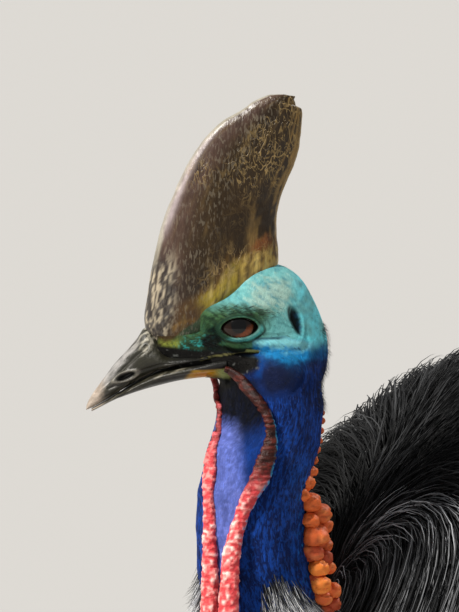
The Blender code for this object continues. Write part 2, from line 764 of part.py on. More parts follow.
def lock(polar, around, length, half_width, sway, lift, droop, raised, parent):
    """One flat, tapered, bent lock along the body, from a root sunk in the core to a lifted tip.

    The section is a shallow diamond whose edges follow the body; length, width, sway round the body,
    lift of the tip, droop under its own weight and height over its neighbours are in metres.
    """
    step = 1e-3
    here = body_surface(polar, around, 0.0)
    along_rate = np.linalg.norm(body_surface(polar + step, around, 0.0) - here) / step
    around_rate = np.linalg.norm(body_surface(polar, around + step, 0.0) - here) / step
    reach = min(length / along_rate, math.pi - 0.03 - polar)
    rings = []
    for t, wide, rise in LOCK_STATIONS:
        there = polar + reach * t
        rate = np.linalg.norm(body_surface(there, around + step, 0.0) - body_surface(there, around, 0.0))
        spread = min(half_width * wide / max(rate / step, 0.05), LOCK_MOST_SPREAD)
        turn = around + sway * t * t / max(around_rate, 0.08)
        out = rise + raised * min(1.0, t / LOCK_STATIONS[1][0])
        thick = LOCK_THICK * (1.1 - 0.6 * t)
        ring = [
            body_surface(there, turn - spread, out - thick * LOCK_SECTION_EDGE),
            body_surface(there, turn, out + thick),
            body_surface(there, turn + spread, out - thick * LOCK_SECTION_EDGE),
            body_surface(there, turn, out - thick),
        ]
        rings.append(np.array(ring) - (0, 0, droop * t * t))
    tip_turn = around + sway / max(around_rate, 0.08)
    tip = body_surface(polar + reach, tip_turn, lift + raised) - (0, 0, droop)
    points = list(np.reshape(rings, (-1, 3))) + [tip, np.mean(rings[0], axis=0)]
    faces = []
    for ring in range(3):
        for side in range(4):
            a = ring * 4 + side
            b = ring * 4 + (side + 1) % 4
            faces.append((a, b, b + 4, a + 4))
    for side in range(4):
        after = (side + 1) % 4
        faces.append((12 + side, 12 + after, 16))
        faces.append((after, side, 17))
    return mesh_piece("lock", points, faces, None, parent)


def tier_of_locks(polar, draw, parent):
    """The locks of one tier, spaced round the body and staggered by a random draw."""
    around = np.linspace(0, 2 * math.pi, 49)
    ring = body_surface(polar + 0.15, around, 0.0)
    steps = np.linalg.norm(np.diff(ring, axis=0), axis=1)
    travelled = np.concatenate([[0], np.cumsum(steps)])
    count = 2 * max(3, int(round(travelled[-1] / LOCK_SPACING / 2)))
    start = draw.uniform(0, 1)
    made = []
    for i in range(count):
        at = np.interp((i + start) / count * travelled[-1], travelled, around)
        underside = max(-math.cos(at), 0.0)
        length = LOCK_LENGTH * draw.uniform(0.88, 1.12) * min(1.0, 0.55 + polar)
        low = max(math.sin(at / 2) ** 2, 0.0) * min(1.0, polar / 1.6)
        made.append(
            lock(
                polar + draw.uniform(-0.05, 0.05),
                at,
                length,
                LOCK_HALF_WIDTH * travelled[-1] / count / LOCK_SPACING * draw.uniform(0.92, 1.06),
                draw.normal(0, 0.014),
                LOCK_LIFT * draw.uniform(0.7, 1.5) * (1 - 0.5 * underside),
                LOCK_DROOP * low * draw.uniform(0.7, 1.2),
                LOCK_STACK * (i % 2),
                parent,
            )
        )
    return made


def beyond(polar, side, parent):
    """A large block whose flat face parts the tail from the torso; side is -1 ahead of it or 1 behind."""
    axis = np.array((0, math.cos(POLE_TILT), -math.sin(POLE_TILT)))
    middle = body_surface(polar, np.array((0, math.pi)), 0.0).mean(0) - axis * side * GAP / 2
    up = np.cross((1.0, 0, 0), axis)
    corners = [
        middle + axis * deep + np.array((1.0, 0, 0)) * x + up * z
        for deep in (0, side * 1.0)
        for x, z in ((-1, -1), (1, -1), (1, 1), (-1, 1))
    ]
    faces = [(0, 1, 2, 3), (4, 5, 6, 7), (0, 1, 5, 4), (1, 2, 6, 5), (2, 3, 7, 6), (3, 0, 4, 7)]
    return mesh_piece("parting_block", corners, faces, None, parent)


def plumage(finish, parent):
    """Torso and tail: one core each with tiers of locks fused to it, parted by a thin slanting cut."""
    draw = np.random.default_rng(LOCK_SEED)
    torso = body_core("torso", -CORE_DEPTH, parent, finish)
    tail = body_core("tail", -CORE_DEPTH, parent, finish)
    ahead = [made for polar in TIERS if polar < TAIL_CUT_POLAR for made in tier_of_locks(polar, draw, parent)]
    behind = [made for polar in TAIL_TIERS for made in tier_of_locks(polar, draw, parent)]
    combined(torso, ahead, "UNION", "MANIFOLD")
    combined(torso, [beyond(TAIL_CUT_POLAR, 1, parent)], "DIFFERENCE", "MANIFOLD")
    combined(tail, behind, "UNION", "MANIFOLD")
    combined(tail, [beyond(TAIL_CUT_POLAR, -1, parent)], "DIFFERENCE", "MANIFOLD")
    return torso, tail


def shank_rings():
    """Sections of the bare leg from inside the feathered thigh to just below the hock, and where they end."""
    knee, hock, foot = (np.array(p) for p in (KNEE, HOCK, FOOT))
    spots = [(*(knee + (hock - knee) * share), wide, deep) for share, wide, deep in SHANK_STATIONS]
    spots += [(*(hock + (foot - hock) * share), wide, deep) for share, wide, deep in HOCK_STATIONS]
    fine = smooth_path(spots, SHANK_RINGS)
    return tube_rings(fine[:, :3], fine[:, 3], fine[:, 4], LEG_SIDES, (1, 0, 0)), fine[-1, :3]


def scute_places(count):
    """Places down a scaly limb, each with its height: a scute rises to its end, then steps down."""
    places = []
    for scute in range(count):
        places += [(scute / count, 0.0), ((scute + SCUTE_LENGTH) / count, SCUTE_STEP)]
    return places + [(1.0, 0.0)]


def bare_leg(hand, side, finish, parent):
    """The shank down to the hock, and the tarsus with its scutes and foot pad, as two pieces."""
    rings, shank_end = shank_rings()
    shank = lofted("shank_" + side, mirrored(rings, hand), finish, parent)
    line = np.array(FOOT) - np.array(HOCK)
    unit = line / np.linalg.norm(line)
    forward = np.cross(unit, (1.0, 0, 0))
    forward *= -np.sign(forward[1])
    start = shank_end + unit * GAP
    end = np.array(FOOT) + np.array((0, -0.004, 0))
    turn = np.linspace(0, 2 * math.pi, LEG_SIDES, endpoint=False)
    rings = []
    for share, step in scute_places(TARSUS_SCUTES):
        sizes = zip(TARSUS_HALF, TARSUS_AT_HOCK, TARSUS_AT_FOOT)
        wide, deep = (middle + above * (1 - share) ** 4 + below * share**6 for middle, above, below in sizes)
        front = np.clip(np.sin(turn), 0, 1) ** 0.5 * step
        ring = start + (end - start) * share
        ring = ring + np.cos(turn)[:, None] * (wide + front * 0.3)[:, None] * np.array((1.0, 0, 0))
        rings.append(ring + (np.sin(turn) * deep + front)[:, None] * forward)
    tarsus = lofted("tarsus_" + side, mirrored(rings, hand), finish, parent)
    return shank, combined(tarsus, [foot_pad(hand, parent)], "UNION")


def foot_pad(hand, parent):
    """The padded joint where the toes part, flat on the floor."""
    centre = np.array((FOOT[0], FOOT[1] + FOOT_PAD_BEHIND, FOOT_PAD_HEIGHT))
    ball = ellipsoid("foot_pad", (0, 0, 0), FOOT_PAD_HALF, ROUND_BALL, parent)
    for vertex in ball.data.vertices:
        spot = np.array(vertex.co) + centre
        vertex.co = (hand * spot[0], spot[1], max(spot[2], 0.0))
    if hand < 0:
        ball.data.flip_normals()
    return ball


def mirrored(rings, hand):
    """Rings of the left side, or their mirror images."""
    rings = np.array(rings, float)
    if hand < 0:
        rings[..., 0] *= -1
    return rings


def toe_axes(turn_out):
    """The directions along and across a toe that turns outward by some degrees."""
    angle = math.radians(turn_out)
    return np.array((math.sin(angle), -math.cos(angle), 0)), np.array((math.cos(angle), math.sin(angle), 0))


def toe(hand, side, which, finish, parent):
    """One toe: a scaly tube, flat underneath, with a swollen pad at each joint."""
    name, turn_out, length, half, _, _ = which
    ahead, across = toe_axes(turn_out)
    start = np.array((FOOT[0], FOOT[1], 0)) + ahead * TOE_START
    turn = (np.arange(TOE_SIDES) + 0.5) / TOE_SIDES * 2 * math.pi
    rings = []
    for share, step in scute_places(TOE_SCUTES):
        swell = 1 + TOE_SWELL * math.cos(2 * math.pi * share * TOE_SWELLS)
        wide = half * (TOE_WIDE[0] - TOE_WIDE[1] * share) * swell
        tall = half * (TOE_TALL[0] - TOE_TALL[1] * share) * swell
        spot = start + ahead * (length - TOE_START) * share
        up = tall * (TOE_MIDDLE_HEIGHT + np.sin(turn)) + np.clip(np.sin(turn), 0, 1) * step
        ring = spot + np.cos(turn)[:, None] * wide * across
        ring[:, 2] = np.maximum(up, 0.0)
        rings.append(ring)
    return lofted(f"toe_{name}_{side}", mirrored(rings, hand), finish, parent)


def claw(hand, side, which, finish, parent):
    """One claw, a bent cone; the inner toe's is a long dagger."""
    name, turn_out, length, half, reach, radius = which
    ahead, across = toe_axes(turn_out)
    base = np.array((FOOT[0], FOOT[1], 0)) + ahead * (length - CLAW_ROOT)
    top = half * CLAW_START_HEIGHT
    path = []
    sizes = []
    for share in np.linspace(0, 1, CLAW_RINGS):
        height = top + CLAW_ARCH * math.sin(math.pi * share) - (top - CLAW_TIP_HEIGHT) * share**1.6
        path.append(base + ahead * (reach + CLAW_ROOT) * share + np.array((0, 0, height)))
        sizes.append(max(radius * (1 - share**1.35), CLAW_TIP_RADIUS))
    rings = np.array(tube_rings(path, sizes, [s * 1.1 for s in sizes], CLAW_SIDES, -across))
    rings[..., 2] = np.maximum(rings[..., 2], CLAW_OFF_FLOOR)
    return lofted(f"claw_{name}_{side}", mirrored(rings, hand), finish, parent)


def thigh_lock(turn, start, length, half, size_at, hand, parent):
    """One hanging lock of the thigh at an angle round it, from a share of the way down to the hock."""
    knee, hock = np.array(KNEE), np.array(HOCK)
    run = (hock - knee) / np.linalg.norm(hock - knee)
    outward = math.cos(turn) * np.array((1.0, 0, 0)) + math.sin(turn) * np.cross((1.0, 0, 0), run)
    across = np.cross(run, outward)
    middle = knee + (hock - knee) * start
    wide, deep = size_at(start)
    thigh = wide * abs(math.cos(turn)) + deep * abs(math.sin(turn))
    sections = []
    for t, share, lift in THIGH_LOCK_STATIONS:
        narrowing = (thigh - 0.020) * 0.75 * t
        spot = middle + run * length * t + outward * (thigh - narrowing + lift)
        thick = LOCK_THICK * (0.8 - 0.4 * t)
        sections.append(
            [
                spot - across * half * share - outward * thick,
                spot + outward * thick,
                spot + across * half * share - outward * thick,
                spot - outward * thick,
            ]
        )
    tip = middle + run * length + outward * (thigh * 0.25 + THIGH_LOCK_TIP)
    last = np.mean(sections[-1], axis=0)
    sections.append([tip + (point - last) * THIGH_LOCK_TIP_SHARE for point in sections[-1]])
    return lofted("thigh_lock", mirrored(sections, hand), None, parent)


def feathered_thigh(hand, side, finish, parent):
    """The feathered thigh, from inside the body to above the hock, with a skirt of hanging locks.

    It comes with slightly larger copies of its pieces, which clear room for it in the body.
    """
    knee, hock = np.array(KNEE), np.array(HOCK)

    def size_at(share):
        way = share / THIGH_END
        parts = zip(THIGH_HALF, THIGH_TAPER, THIGH_TAPER_CURVE)
        return [half - taper * way**curve for half, taper, curve in parts]

    shares = np.linspace(THIGH_START, THIGH_END, THIGH_RINGS)
    path = [knee + (hock - knee) * share for share in shares]
    wide, deep = np.transpose([size_at(share) for share in shares])
    rings = tube_rings(path, wide, deep, THIGH_SIDES, (1, 0, 0))
    thigh = lofted("thigh_" + side, mirrored(rings, hand), finish, parent)
    draw = np.random.default_rng(THIGH_LOCK_SEED)
    locks = []
    for i in range(THIGH_LOCKS):
        turn = 2 * math.pi * (i + 0.3 * (i % 2)) / THIGH_LOCKS
        start = THIGH_LOCK_START + THIGH_LOCK_STAGGER * (i % 2)
        length = THIGH_LOCK_LENGTH * draw.uniform(0.85, 1.1)
        half = THIGH_LOCK_HALF_WIDTH * draw.uniform(0.9, 1.1)
        locks.append(thigh_lock(turn, start, length, half, size_at, hand, parent))
    room = [grown_copy(piece) for piece in (thigh, *locks)]
    return combined(thigh, locks, "UNION", "MANIFOLD"), room


def wing(hand, side, finish, parent):
    """A wing stub and its bare quills, which lie along the flank outside the coat."""
    root = np.array(WING_ROOT)
    stub = ellipsoid("wing_" + side, root * (hand, 1, 1), WING_STUB_HALF, WING_BALL, parent, finish=finish)
    places = np.linspace(0, 1, QUILL_STATIONS)
    quills = []
    for i in range(QUILLS):
        share = i / (QUILLS - 1)
        start = root + np.array((0.008, 0.002 + 0.022 * share, 0.008 - 0.014 * share))
        length = QUILL_LENGTH * (1 - 0.22 * abs(share - 0.4))
        down = QUILL_DOWN[0] + QUILL_DOWN[1] * (1 - share)
        path = []
        for t in places:
            along_y = start[1] + length * t * math.cos(down) * (1 - 0.25 * t)
            along_z = start[2] - length * t * math.sin(down) * (0.72 + 0.28 * t)
            clear = flank_at(along_y, along_z) + QUILL_CLEARANCE + 0.002 * (i % 2)
            lift = min(1.0, t / 0.22)
            path.append((start[0] * (1 - lift) + clear * lift, along_y, along_z))
        sizes = QUILL_RADIUS * (1 - 0.72 * places) + QUILL_TIP
        rings = tube_rings(path, sizes, sizes, QUILL_SIDES, (0, 0.6, 0.8))
        quills.append(lofted("quill", mirrored(rings, hand), None, parent))
    return combined(stub, quills, "UNION")


def flank_at(y, z):
    """Half width of the coat at a place on the flank, kept upright below the widest part."""
    lengthwise = (y - BODY_CENTRE_Y) / BODY_HALF[1]
    drop = (REAR_DROP if lengthwise > 0.1 else FRONT_DROP) * (lengthwise - 0.1) ** 2
    upright = max((z - BODY_CENTRE_Z + drop) / BODY_HALF[2], 0.0)
    wide = 1 - BODY_TAPER * (lengthwise - WIDEST_AT) ** 2
    return BODY_HALF[0] * wide * math.sqrt(max(1 - lengthwise**2 - upright**2, 0.0))


def build_bill(finish, axes):
    """The two halves of the bill, parted along the mouth."""
    upper = bill_rings(
        lambda place: along(CULMEN, place),
        lambda place: along(MOUTH, place) + MOUTH_GAP / 2,
        UPPER_BILL_SPAN,
        1,
    )
    lower = bill_rings(
        lambda place: along(MOUTH, place) - MOUTH_GAP / 2,
        lambda place: along(GONYS, place),
        LOWER_BILL_SPAN,
        -1,
    )
    return lofted("bill_upper", upper, finish, axes), lofted("bill_lower", lower, finish, axes)


def build_eyes(finish, axes):
    """The two eyes, by side."""
    return {
        side: ellipsoid("eye_" + side, (hand * EYE_SIDE, 0, 0), EYE_HALF, EYE_BALL, axes, finish=finish)
        for side, hand in (("left", 1), ("right", -1))
    }


def open_eyes_and_ears(head, axes):
    """Adds lids and ear rims to the head, then cuts the slits of the lids and the cups of the ears."""
    added, cut = [], []
    for hand in (1, -1):
        eye = np.array((hand * EYE_SIDE, 0, 0))
        added.append(ellipsoid("lid", eye, np.array(EYE_HALF) + LID_THICKNESS, ROUND_BALL, axes))
        front = eye + (hand * EYE_HALF[0], 0, LID_RISE)
        cut.append(ellipsoid("slit", front, LID_OPENING, SLIT_BALL, axes))
        rim = in_head(EAR_FORWARD, EAR_UP, hand * (EAR_SIDE - EAR_RIM_SUNK))
        added.append(ellipsoid("ear_rim", rim, np.array(EAR_HALF) + EAR_RIM, EAR_BALL, axes, EAR_TILT))
        cup = in_head(EAR_FORWARD, EAR_UP, hand * (EAR_SIDE + EAR_CUP_PROUD))
        cut.append(ellipsoid("ear_cup", cup, EAR_HALF, EAR_BALL, axes, EAR_TILT))
    combined(head, added, "UNION")
    combined(head, cut, "DIFFERENCE")


def open_nostrils(upper, axes):
    """Cuts the slit of each nostril into the upper bill."""
    forward, up, out = np.array(NOSTRIL) * MM
    slits = [
        ellipsoid("nostril", in_head(forward, up, hand * out), NOSTRIL_HALF, NOSTRIL_BALL, axes, NOSTRIL_TILT)
        for hand in (1, -1)
    ]
    combined(upper, slits, "DIFFERENCE")


def build_head(finishes, axes):
    """Head, casque, bill and eyes, each cut clear of the next."""
    casque = lofted("casque", casque_rings(), finishes["casque"], axes)
    upper, lower = build_bill(finishes["bill"], axes)
    head = lofted("head", head_rings(), finishes["head_skin"], axes)
    eyes = build_eyes(finishes["eye"], axes)
    open_eyes_and_ears(head, axes)
    cleared(upper, casque)
    open_nostrils(upper, axes)
    cleared(head, casque, upper, lower, eyes["left"], eyes["right"])
    combined(head, mouth_groove(axes), "DIFFERENCE")
    return head, lower


def mouth_groove(axes):
    """Cutters for the line of the mouth behind the bill, one each side."""
    made = []
    for hand in (1, -1):
        front = in_head(*GAPE_START, hand * GAPE_SIDE)
        rear = in_head(GAPE_FORWARD, GAPE_UP, hand * GAPE_SIDE)
        path = [rear + (front - rear) * share for share in (0, 0.33, 0.66, 1)]
        depths = [GAPE_CUT * share for share in (0.6, 1, 1, 1)]
        rings = tube_rings(path, [GAPE_REACH] * len(path), depths, 6, (1, 0, 0))
        made.append(lofted("mouth_line", rings, None, axes))
    return made


def build():
    """Makes every piece of the bird and stands it on the floor."""
    clear_scene()
    finishes = {
        "casque": finish_of("casque_horn", (0.10, 0.062, 0.045), 0.32),
        "bill": finish_of("bill_horn", (0.030, 0.028, 0.030), 0.34),
        "head_skin": finish_of("head_skin", (0.14, 0.48, 0.52), 0.55),
        "neck_skin": finish_of("neck_skin", (0.022, 0.055, 0.33), 0.55),
        "eye": finish_of("eye_gloss", (0.16, 0.035, 0.008), 0.06),
        "wattle": finish_of("wattle_skin", (0.62, 0.075, 0.075), 0.45),
        "caruncle": finish_of("caruncle_skin", (0.62, 0.12, 0.020), 0.45),
        "plumage": finish_of("plumage", (0.012, 0.012, 0.013), 0.50),
        "quill": finish_of("quill_horn", (0.010, 0.010, 0.011), 0.25),
        "leg": finish_of("leg_scale", (0.110, 0.105, 0.085), 0.60),
        "claw": finish_of("claw_horn", (0.035, 0.030, 0.028), 0.35),
    }
    bird = empty("cassowary")
    ahead = np.array((-math.sin(HEAD_TURN), -math.cos(HEAD_TURN), 0))
    eyes_at = np.array((0, NECK_TOP_Y, EYE_HEIGHT)) + ahead * NECK_TOP_BEHIND_EYES
    axes = empty("head_axes", eyes_at, -HEAD_TURN, bird)

    head, lower = build_head(finishes, axes)
    neck = lofted("neck", neck_rings(), finishes["neck_skin"], axes)
    left_wattle = wattle("wattle_left", NEAR_WATTLE, finishes["wattle"], axes)
    right_wattle = wattle("wattle_right", FAR_WATTLE, finishes["wattle"], axes)
    for piece in (left_wattle, right_wattle):
        cleared(piece, neck, head, lower)
    nape = caruncles(axes, finishes["caruncle"])
    cleared(nape, neck, head)

    torso, _ = plumage(finishes["plumage"], bird)
    hull = hull_of(nape)
    room = [grown_copy(neck), grown_copy(hull)]
    bpy.data.objects.remove(hull, do_unlink=True)
    for side, hand in (("left", 1), ("right", -1)):
        thigh, thigh_room = feathered_thigh(hand, side, finishes["plumage"], bird)
        shank, tarsus = bare_leg(hand, side, finishes["leg"], bird)
        cleared(thigh, shank)
        toes = [toe(hand, side, which, finishes["leg"], bird) for which in TOES]
        inner, middle, outer = toes
        cleared(middle, tarsus)
        cleared(inner, tarsus, middle)
        cleared(outer, tarsus, middle)
        for made, which in zip(toes, TOES):
            nail = claw(hand, side, which, finishes["claw"], bird)
            cleared(nail, made)
        quills = wing(hand, side, finishes["quill"], bird)
        room += [grown_copy(quills, 2 * GAP), *thigh_room]
    combined(torso, room, "DIFFERENCE", "MANIFOLD")
    stand_on_floor(bird)


def stand_on_floor(bird):
    """Moves the whole bird so that its box stands on the floor, centred on the origin."""
    bpy.context.view_layer.update()
    spots = np.array(
        [
            piece.matrix_world @ vertex.co
            for piece in bpy.data.objects
            if piece.type == "MESH"
            for vertex in piece.data.vertices
        ]
    )
    low, high = spots.min(0), spots.max(0)
    bird.location = (-(low[0] + high[0]) / 2, -(low[1] + high[1]) / 2, -low[2])
    bpy.context.view_layer.update()


build()
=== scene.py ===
"""The looks of a life-size southern cassowary, standing with its head turned to its right.

Every visible surface is worked out with numpy from named sizes and set in the row frame: the bird
faces -Y, +X is its left and +Z is up. Head and neck are worked out in the head's own axes, which
start midway between the eyes, with -Y forward along the bill.
"""

from __future__ import annotations

import json
import logging
import math
from dataclasses import dataclass, field
from enum import Enum
from itertools import product

import bpy
import numpy as np
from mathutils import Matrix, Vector

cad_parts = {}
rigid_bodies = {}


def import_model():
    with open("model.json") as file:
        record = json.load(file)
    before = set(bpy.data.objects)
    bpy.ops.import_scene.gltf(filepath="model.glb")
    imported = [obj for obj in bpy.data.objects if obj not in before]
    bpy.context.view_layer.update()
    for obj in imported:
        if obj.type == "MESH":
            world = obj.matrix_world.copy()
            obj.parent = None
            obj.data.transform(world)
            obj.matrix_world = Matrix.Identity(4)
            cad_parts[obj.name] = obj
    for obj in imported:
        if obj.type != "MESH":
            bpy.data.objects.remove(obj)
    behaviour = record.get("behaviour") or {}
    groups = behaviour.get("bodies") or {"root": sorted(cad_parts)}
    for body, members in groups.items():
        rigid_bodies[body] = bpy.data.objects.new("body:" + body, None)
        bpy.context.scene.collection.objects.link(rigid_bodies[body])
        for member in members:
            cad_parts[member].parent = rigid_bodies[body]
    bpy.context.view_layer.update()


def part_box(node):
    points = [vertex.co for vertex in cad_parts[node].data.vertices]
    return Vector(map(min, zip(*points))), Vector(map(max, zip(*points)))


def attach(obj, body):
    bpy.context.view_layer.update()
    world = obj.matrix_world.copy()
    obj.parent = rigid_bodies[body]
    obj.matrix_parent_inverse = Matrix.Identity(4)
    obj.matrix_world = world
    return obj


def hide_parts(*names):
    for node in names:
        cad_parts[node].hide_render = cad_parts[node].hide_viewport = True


Array = np.ndarray
Colour = tuple[float, float, float]

LOG = logging.getLogger("cassowary")
MM = 0.001
BODY = "root"
PHOTO_WIDTH = 459
PHOTO_HEIGHT = 612


class Side(Enum):
    """The bird's own left or right; the value is the sign along X."""

    LEFT = 1
    RIGHT = -1

    @property
    def word(self) -> str:
        """The side's name as the nodes spell it."""
        return self.name.lower()


# Small mathematics shared by every piece


def smoothstep(low: float | Array, high: float | Array, value: Array) -> Array:
    """Rises smoothly from 0 at low to 1 at high: t * t * (3 - 2 * t)."""
    share = np.clip((value - low) / (high - low), 0, 1)
    return share * share * (3 - 2 * share)


def hump(value: Array, centre: float, reach: float) -> Array:
    """A soft bump: exp(-((value - centre) / reach) ** 2)."""
    return np.exp(-(((value - centre) / reach) ** 2))


def soft_minimum(a: Array, b: Array, reach: float) -> Array:
    """The smaller of two distances, rounded over a reach where they meet."""
    share = np.clip(0.5 + 0.5 * (b - a) / reach, 0, 1)
    return b * (1 - share) + a * share - reach * share * (1 - share)


def lattice_noise(points: Array, size: float, seed: int) -> Array:
    """Smooth noise between -1 and 1 from random values on a cubic lattice.

    Args:
        points: places, with three numbers along the last axis.
        size: the lattice's spacing, in the points' unit.
        seed: chooses the random values.

    Returns:
        One number for each point.
    """
    scaled = np.asarray(points, float) / size
    cell = np.floor(scaled).astype(np.int64)
    part = scaled - cell
    part = part * part * (3 - 2 * part)
    total = np.zeros(scaled.shape[:-1])
    for corner in product((0, 1), repeat=3):
        x, y, z = (cell[..., i] + corner[i] for i in range(3))
        mixed = (x * 73856093) ^ (y * 19349663) ^ (z * 83492791) ^ (seed * 2654435761)
        mixed = ((mixed ^ (mixed >> 13)) * 1274126177) & 0xFFFFFFFF
        value = (mixed ^ (mixed >> 16)) / 2147483648.0 - 1
        weight = np.ones_like(total)
        for i in range(3):
            weight = weight * (part[..., i] if corner[i] else 1 - part[..., i])
        total += weight * value
    return total


def layered_noise(points: Array, size: float, seed: int, layers: int = 3) -> Array:
    """Noise in layers, each of half the size and strength of the last."""
    total = sum(lattice_noise(points, size / 2**i, seed + i) / 2**i for i in range(layers))
    return total / (2 - 0.5 ** (layers - 1))


def smooth_path(stations: Array, count: int) -> Array:
    """A finer path through stations, by cubic pieces that keep their tangents.

    Args:
        stations: rows of numbers, one row a station.
        count: how many rows the finer path has.

    Returns:
        The finer rows: a(2t^3-3t^2+1) + a'(t^3-2t^2+t) + b(3t^2-2t^3) + b'(t^3-t^2).
    """
    stations = np.asarray(stations, float)
    slopes = np.gradient(stations, axis=0)
    places = np.linspace(0, len(stations) - 1, count)
    left = np.clip(np.floor(places).astype(int), 0, len(stations) - 2)
    t = (places - left)[:, None]
    a, b = stations[left], stations[left + 1]
    ta, tb = slopes[left], slopes[left + 1]
    return (
        a * (2 * t**3 - 3 * t**2 + 1)
        + ta * (t**3 - 2 * t**2 + t)
        + b * (3 * t**2 - 2 * t**3)
        + tb * (t**3 - t**2)
    )


def crowded(count: int, low: float, high: float, centres: tuple[float, ...], reach: float, more: float) -> Array:
    """Places from low to high that crowd together near some centres.

    Args:
        count: how many places.
        low: the first place.
        high: the last place.
        centres: where they crowd.
        reach: how wide each crowd is.
        more: how many times denser a crowd is than the rest, less one.

    Returns:
        The places, equal steps of the integral of 1 + more * hump(place).
    """
    fine = np.linspace(low, high, 2000)
    density = 1 + more * sum(hump(fine, centre, reach) for centre in centres)
    travelled = np.concatenate([[0], np.cumsum((density[1:] + density[:-1]) / 2)])
    return np.interp(np.linspace(0, travelled[-1], count), travelled, fine)


def grid_normals(grid: Array) -> Array:
    """Unit normals of a grid whose second axis closes on itself: the cross of its two tangents."""
    down = np.gradient(grid, axis=0)
    across = np.roll(grid, -1, axis=1) - np.roll(grid, 1, axis=1)
    normals = np.cross(down, across)
    normals /= np.linalg.norm(normals, axis=-1, keepdims=True) + 1e-12
    outward = grid - grid.mean(axis=1, keepdims=True)
    flip = np.sign((normals * outward).sum(-1).mean(axis=1))
    flip[flip == 0] = 1
    return normals * flip[:, None, None]


# Meshes


@dataclass
class Surface:
    """Points and faces of one closed piece, with what its paint and patterns read.

    Args:
        points: vertices in the row frame.
        faces: rows of three or four indices, the last repeated where a face is a triangle.
        uv: one UV pair for each vertex.
        paint: a colour for each vertex.
        masks: named numbers for each vertex.
    """

    points: Array
    faces: Array
    uv: Array | None = None
    paint: Array | None = None
    masks: dict[str, Array] = field(default_factory=dict)

    def joined(self, other: "Surface") -> "Surface":
        """This surface and another as one mesh of two closed shells."""
        uv = None if self.uv is None or other.uv is None else np.vstack([self.uv, other.uv])
        paint = None if self.paint is None or other.paint is None else np.vstack([self.paint, other.paint])
        masks = {k: np.concatenate([v, other.masks[k]]) for k, v in self.masks.items() if k in other.masks}
        faces = np.vstack([self.faces, other.faces + len(self.points)])
        return Surface(np.vstack([self.points, other.points]), faces, uv, paint, masks)

    def turned_out(self) -> "Surface":
        """The same surface with its faces pointing outwards, by the sign of its volume."""
        a, b, c, d = (self.points[self.faces[:, i]] for i in range(4))
        volume = (np.cross(a, b) * c).sum() + (np.cross(a, c) * d).sum()
        if volume < 0:
            self.faces = self.faces[:, [1, 0, 3, 2]]
        return self

    def piece(self, name: str, uv_name: str = "surface") -> bpy.types.Object:
        """Makes the object, smooth shaded and at the origin.

        Args:
            name: the object's name.
            uv_name: the name of its UV map.

        Returns:
            The new object, linked to the scene.
        """
        faces = self.faces.copy()
        triangles = faces[:, 3] == faces[:, 2]
        quads = faces[~triangles]
        thirds = faces[triangles][:, :3]
        loops = np.concatenate([quads.ravel(), thirds.ravel()])
        totals = np.concatenate([np.full(len(quads), 4), np.full(len(thirds), 3)])
        starts = np.concatenate([[0], np.cumsum(totals)[:-1]])
        mesh = bpy.data.meshes.new(name)
        mesh.vertices.add(len(self.points))
        mesh.vertices.foreach_set("co", np.ascontiguousarray(self.points, np.float32).ravel())
        mesh.loops.add(len(loops))
        mesh.loops.foreach_set("vertex_index", loops.astype(np.int32))
        mesh.polygons.add(len(totals))
        mesh.polygons.foreach_set("loop_start", starts.astype(np.int32))
        mesh.update(calc_edges=True)
        mesh.shade_smooth()
        if self.uv is not None:
            layer = mesh.uv_layers.new(name=uv_name)
            layer.uv.foreach_set("vector", self.uv[loops].astype(np.float32).ravel())
        if self.paint is not None:
            layer = mesh.color_attributes.new("paint", "FLOAT_COLOR", "POINT")
            full = np.hstack([self.paint, np.ones((len(self.paint), 1))])
            layer.data.foreach_set("color", full.astype(np.float32).ravel())
        for mask, values in self.masks.items():
            layer = mesh.attributes.new(mask, "FLOAT", "POINT")
            layer.data.foreach_set("value", values.astype(np.float32))
        made = bpy.data.objects.new(name, mesh)
        bpy.context.scene.collection.objects.link(made)
        return made


def lofted(grid: Array, paint: Array | None = None, masks: dict[str, Array] | None = None) -> Surface:
    """A closed surface through rings of points, with a fan to a middle point at each end.

    Args:
        grid: rings by sides by three.
        paint: rings by sides by three colours, or nothing.
        masks: named arrays of rings by sides.

    Returns:
        The surface; its UV is (share round, share along).
    """
    rings, sides = grid.shape[:2]
    points = np.vstack([grid.reshape(-1, 3), grid[0].mean(0), grid[-1].mean(0)])
    ring, side = np.meshgrid(np.arange(rings - 1), np.arange(sides), indexing="ij")
    after = (side + 1) % sides
    quads = np.stack(
        [ring * sides + side, ring * sides + after, (ring + 1) * sides + after, (ring + 1) * sides + side], -1
    ).reshape(-1, 4)
    edge = np.arange(sides)
    beyond = (edge + 1) % sides
    first = np.stack([beyond, edge, np.full(sides, rings * sides), np.full(sides, rings * sides)], -1)
    base = (rings - 1) * sides
    last_point = np.full(sides, rings * sides + 1)
    last = np.stack([base + edge, base + beyond, last_point, last_point], -1)
    around = np.abs(np.linspace(-1, 1, sides, endpoint=False))
    uv = np.stack(np.meshgrid(np.linspace(0, 1, rings), around, indexing="ij")[::-1], -1).reshape(-1, 2)
    uv = np.vstack([uv, [0.5, 0.0], [0.5, 1.0]])
    full_paint = None
    if paint is not None:
        full_paint = np.vstack([paint.reshape(-1, 3), paint[0].mean(0), paint[-1].mean(0)])
    full_masks = {
        key: np.concatenate([value.ravel(), [value[0].mean(), value[-1].mean()]])
        for key, value in (masks or {}).items()
    }
    return Surface(points, np.vstack([quads, first, last]), uv, full_paint, full_masks).turned_out()


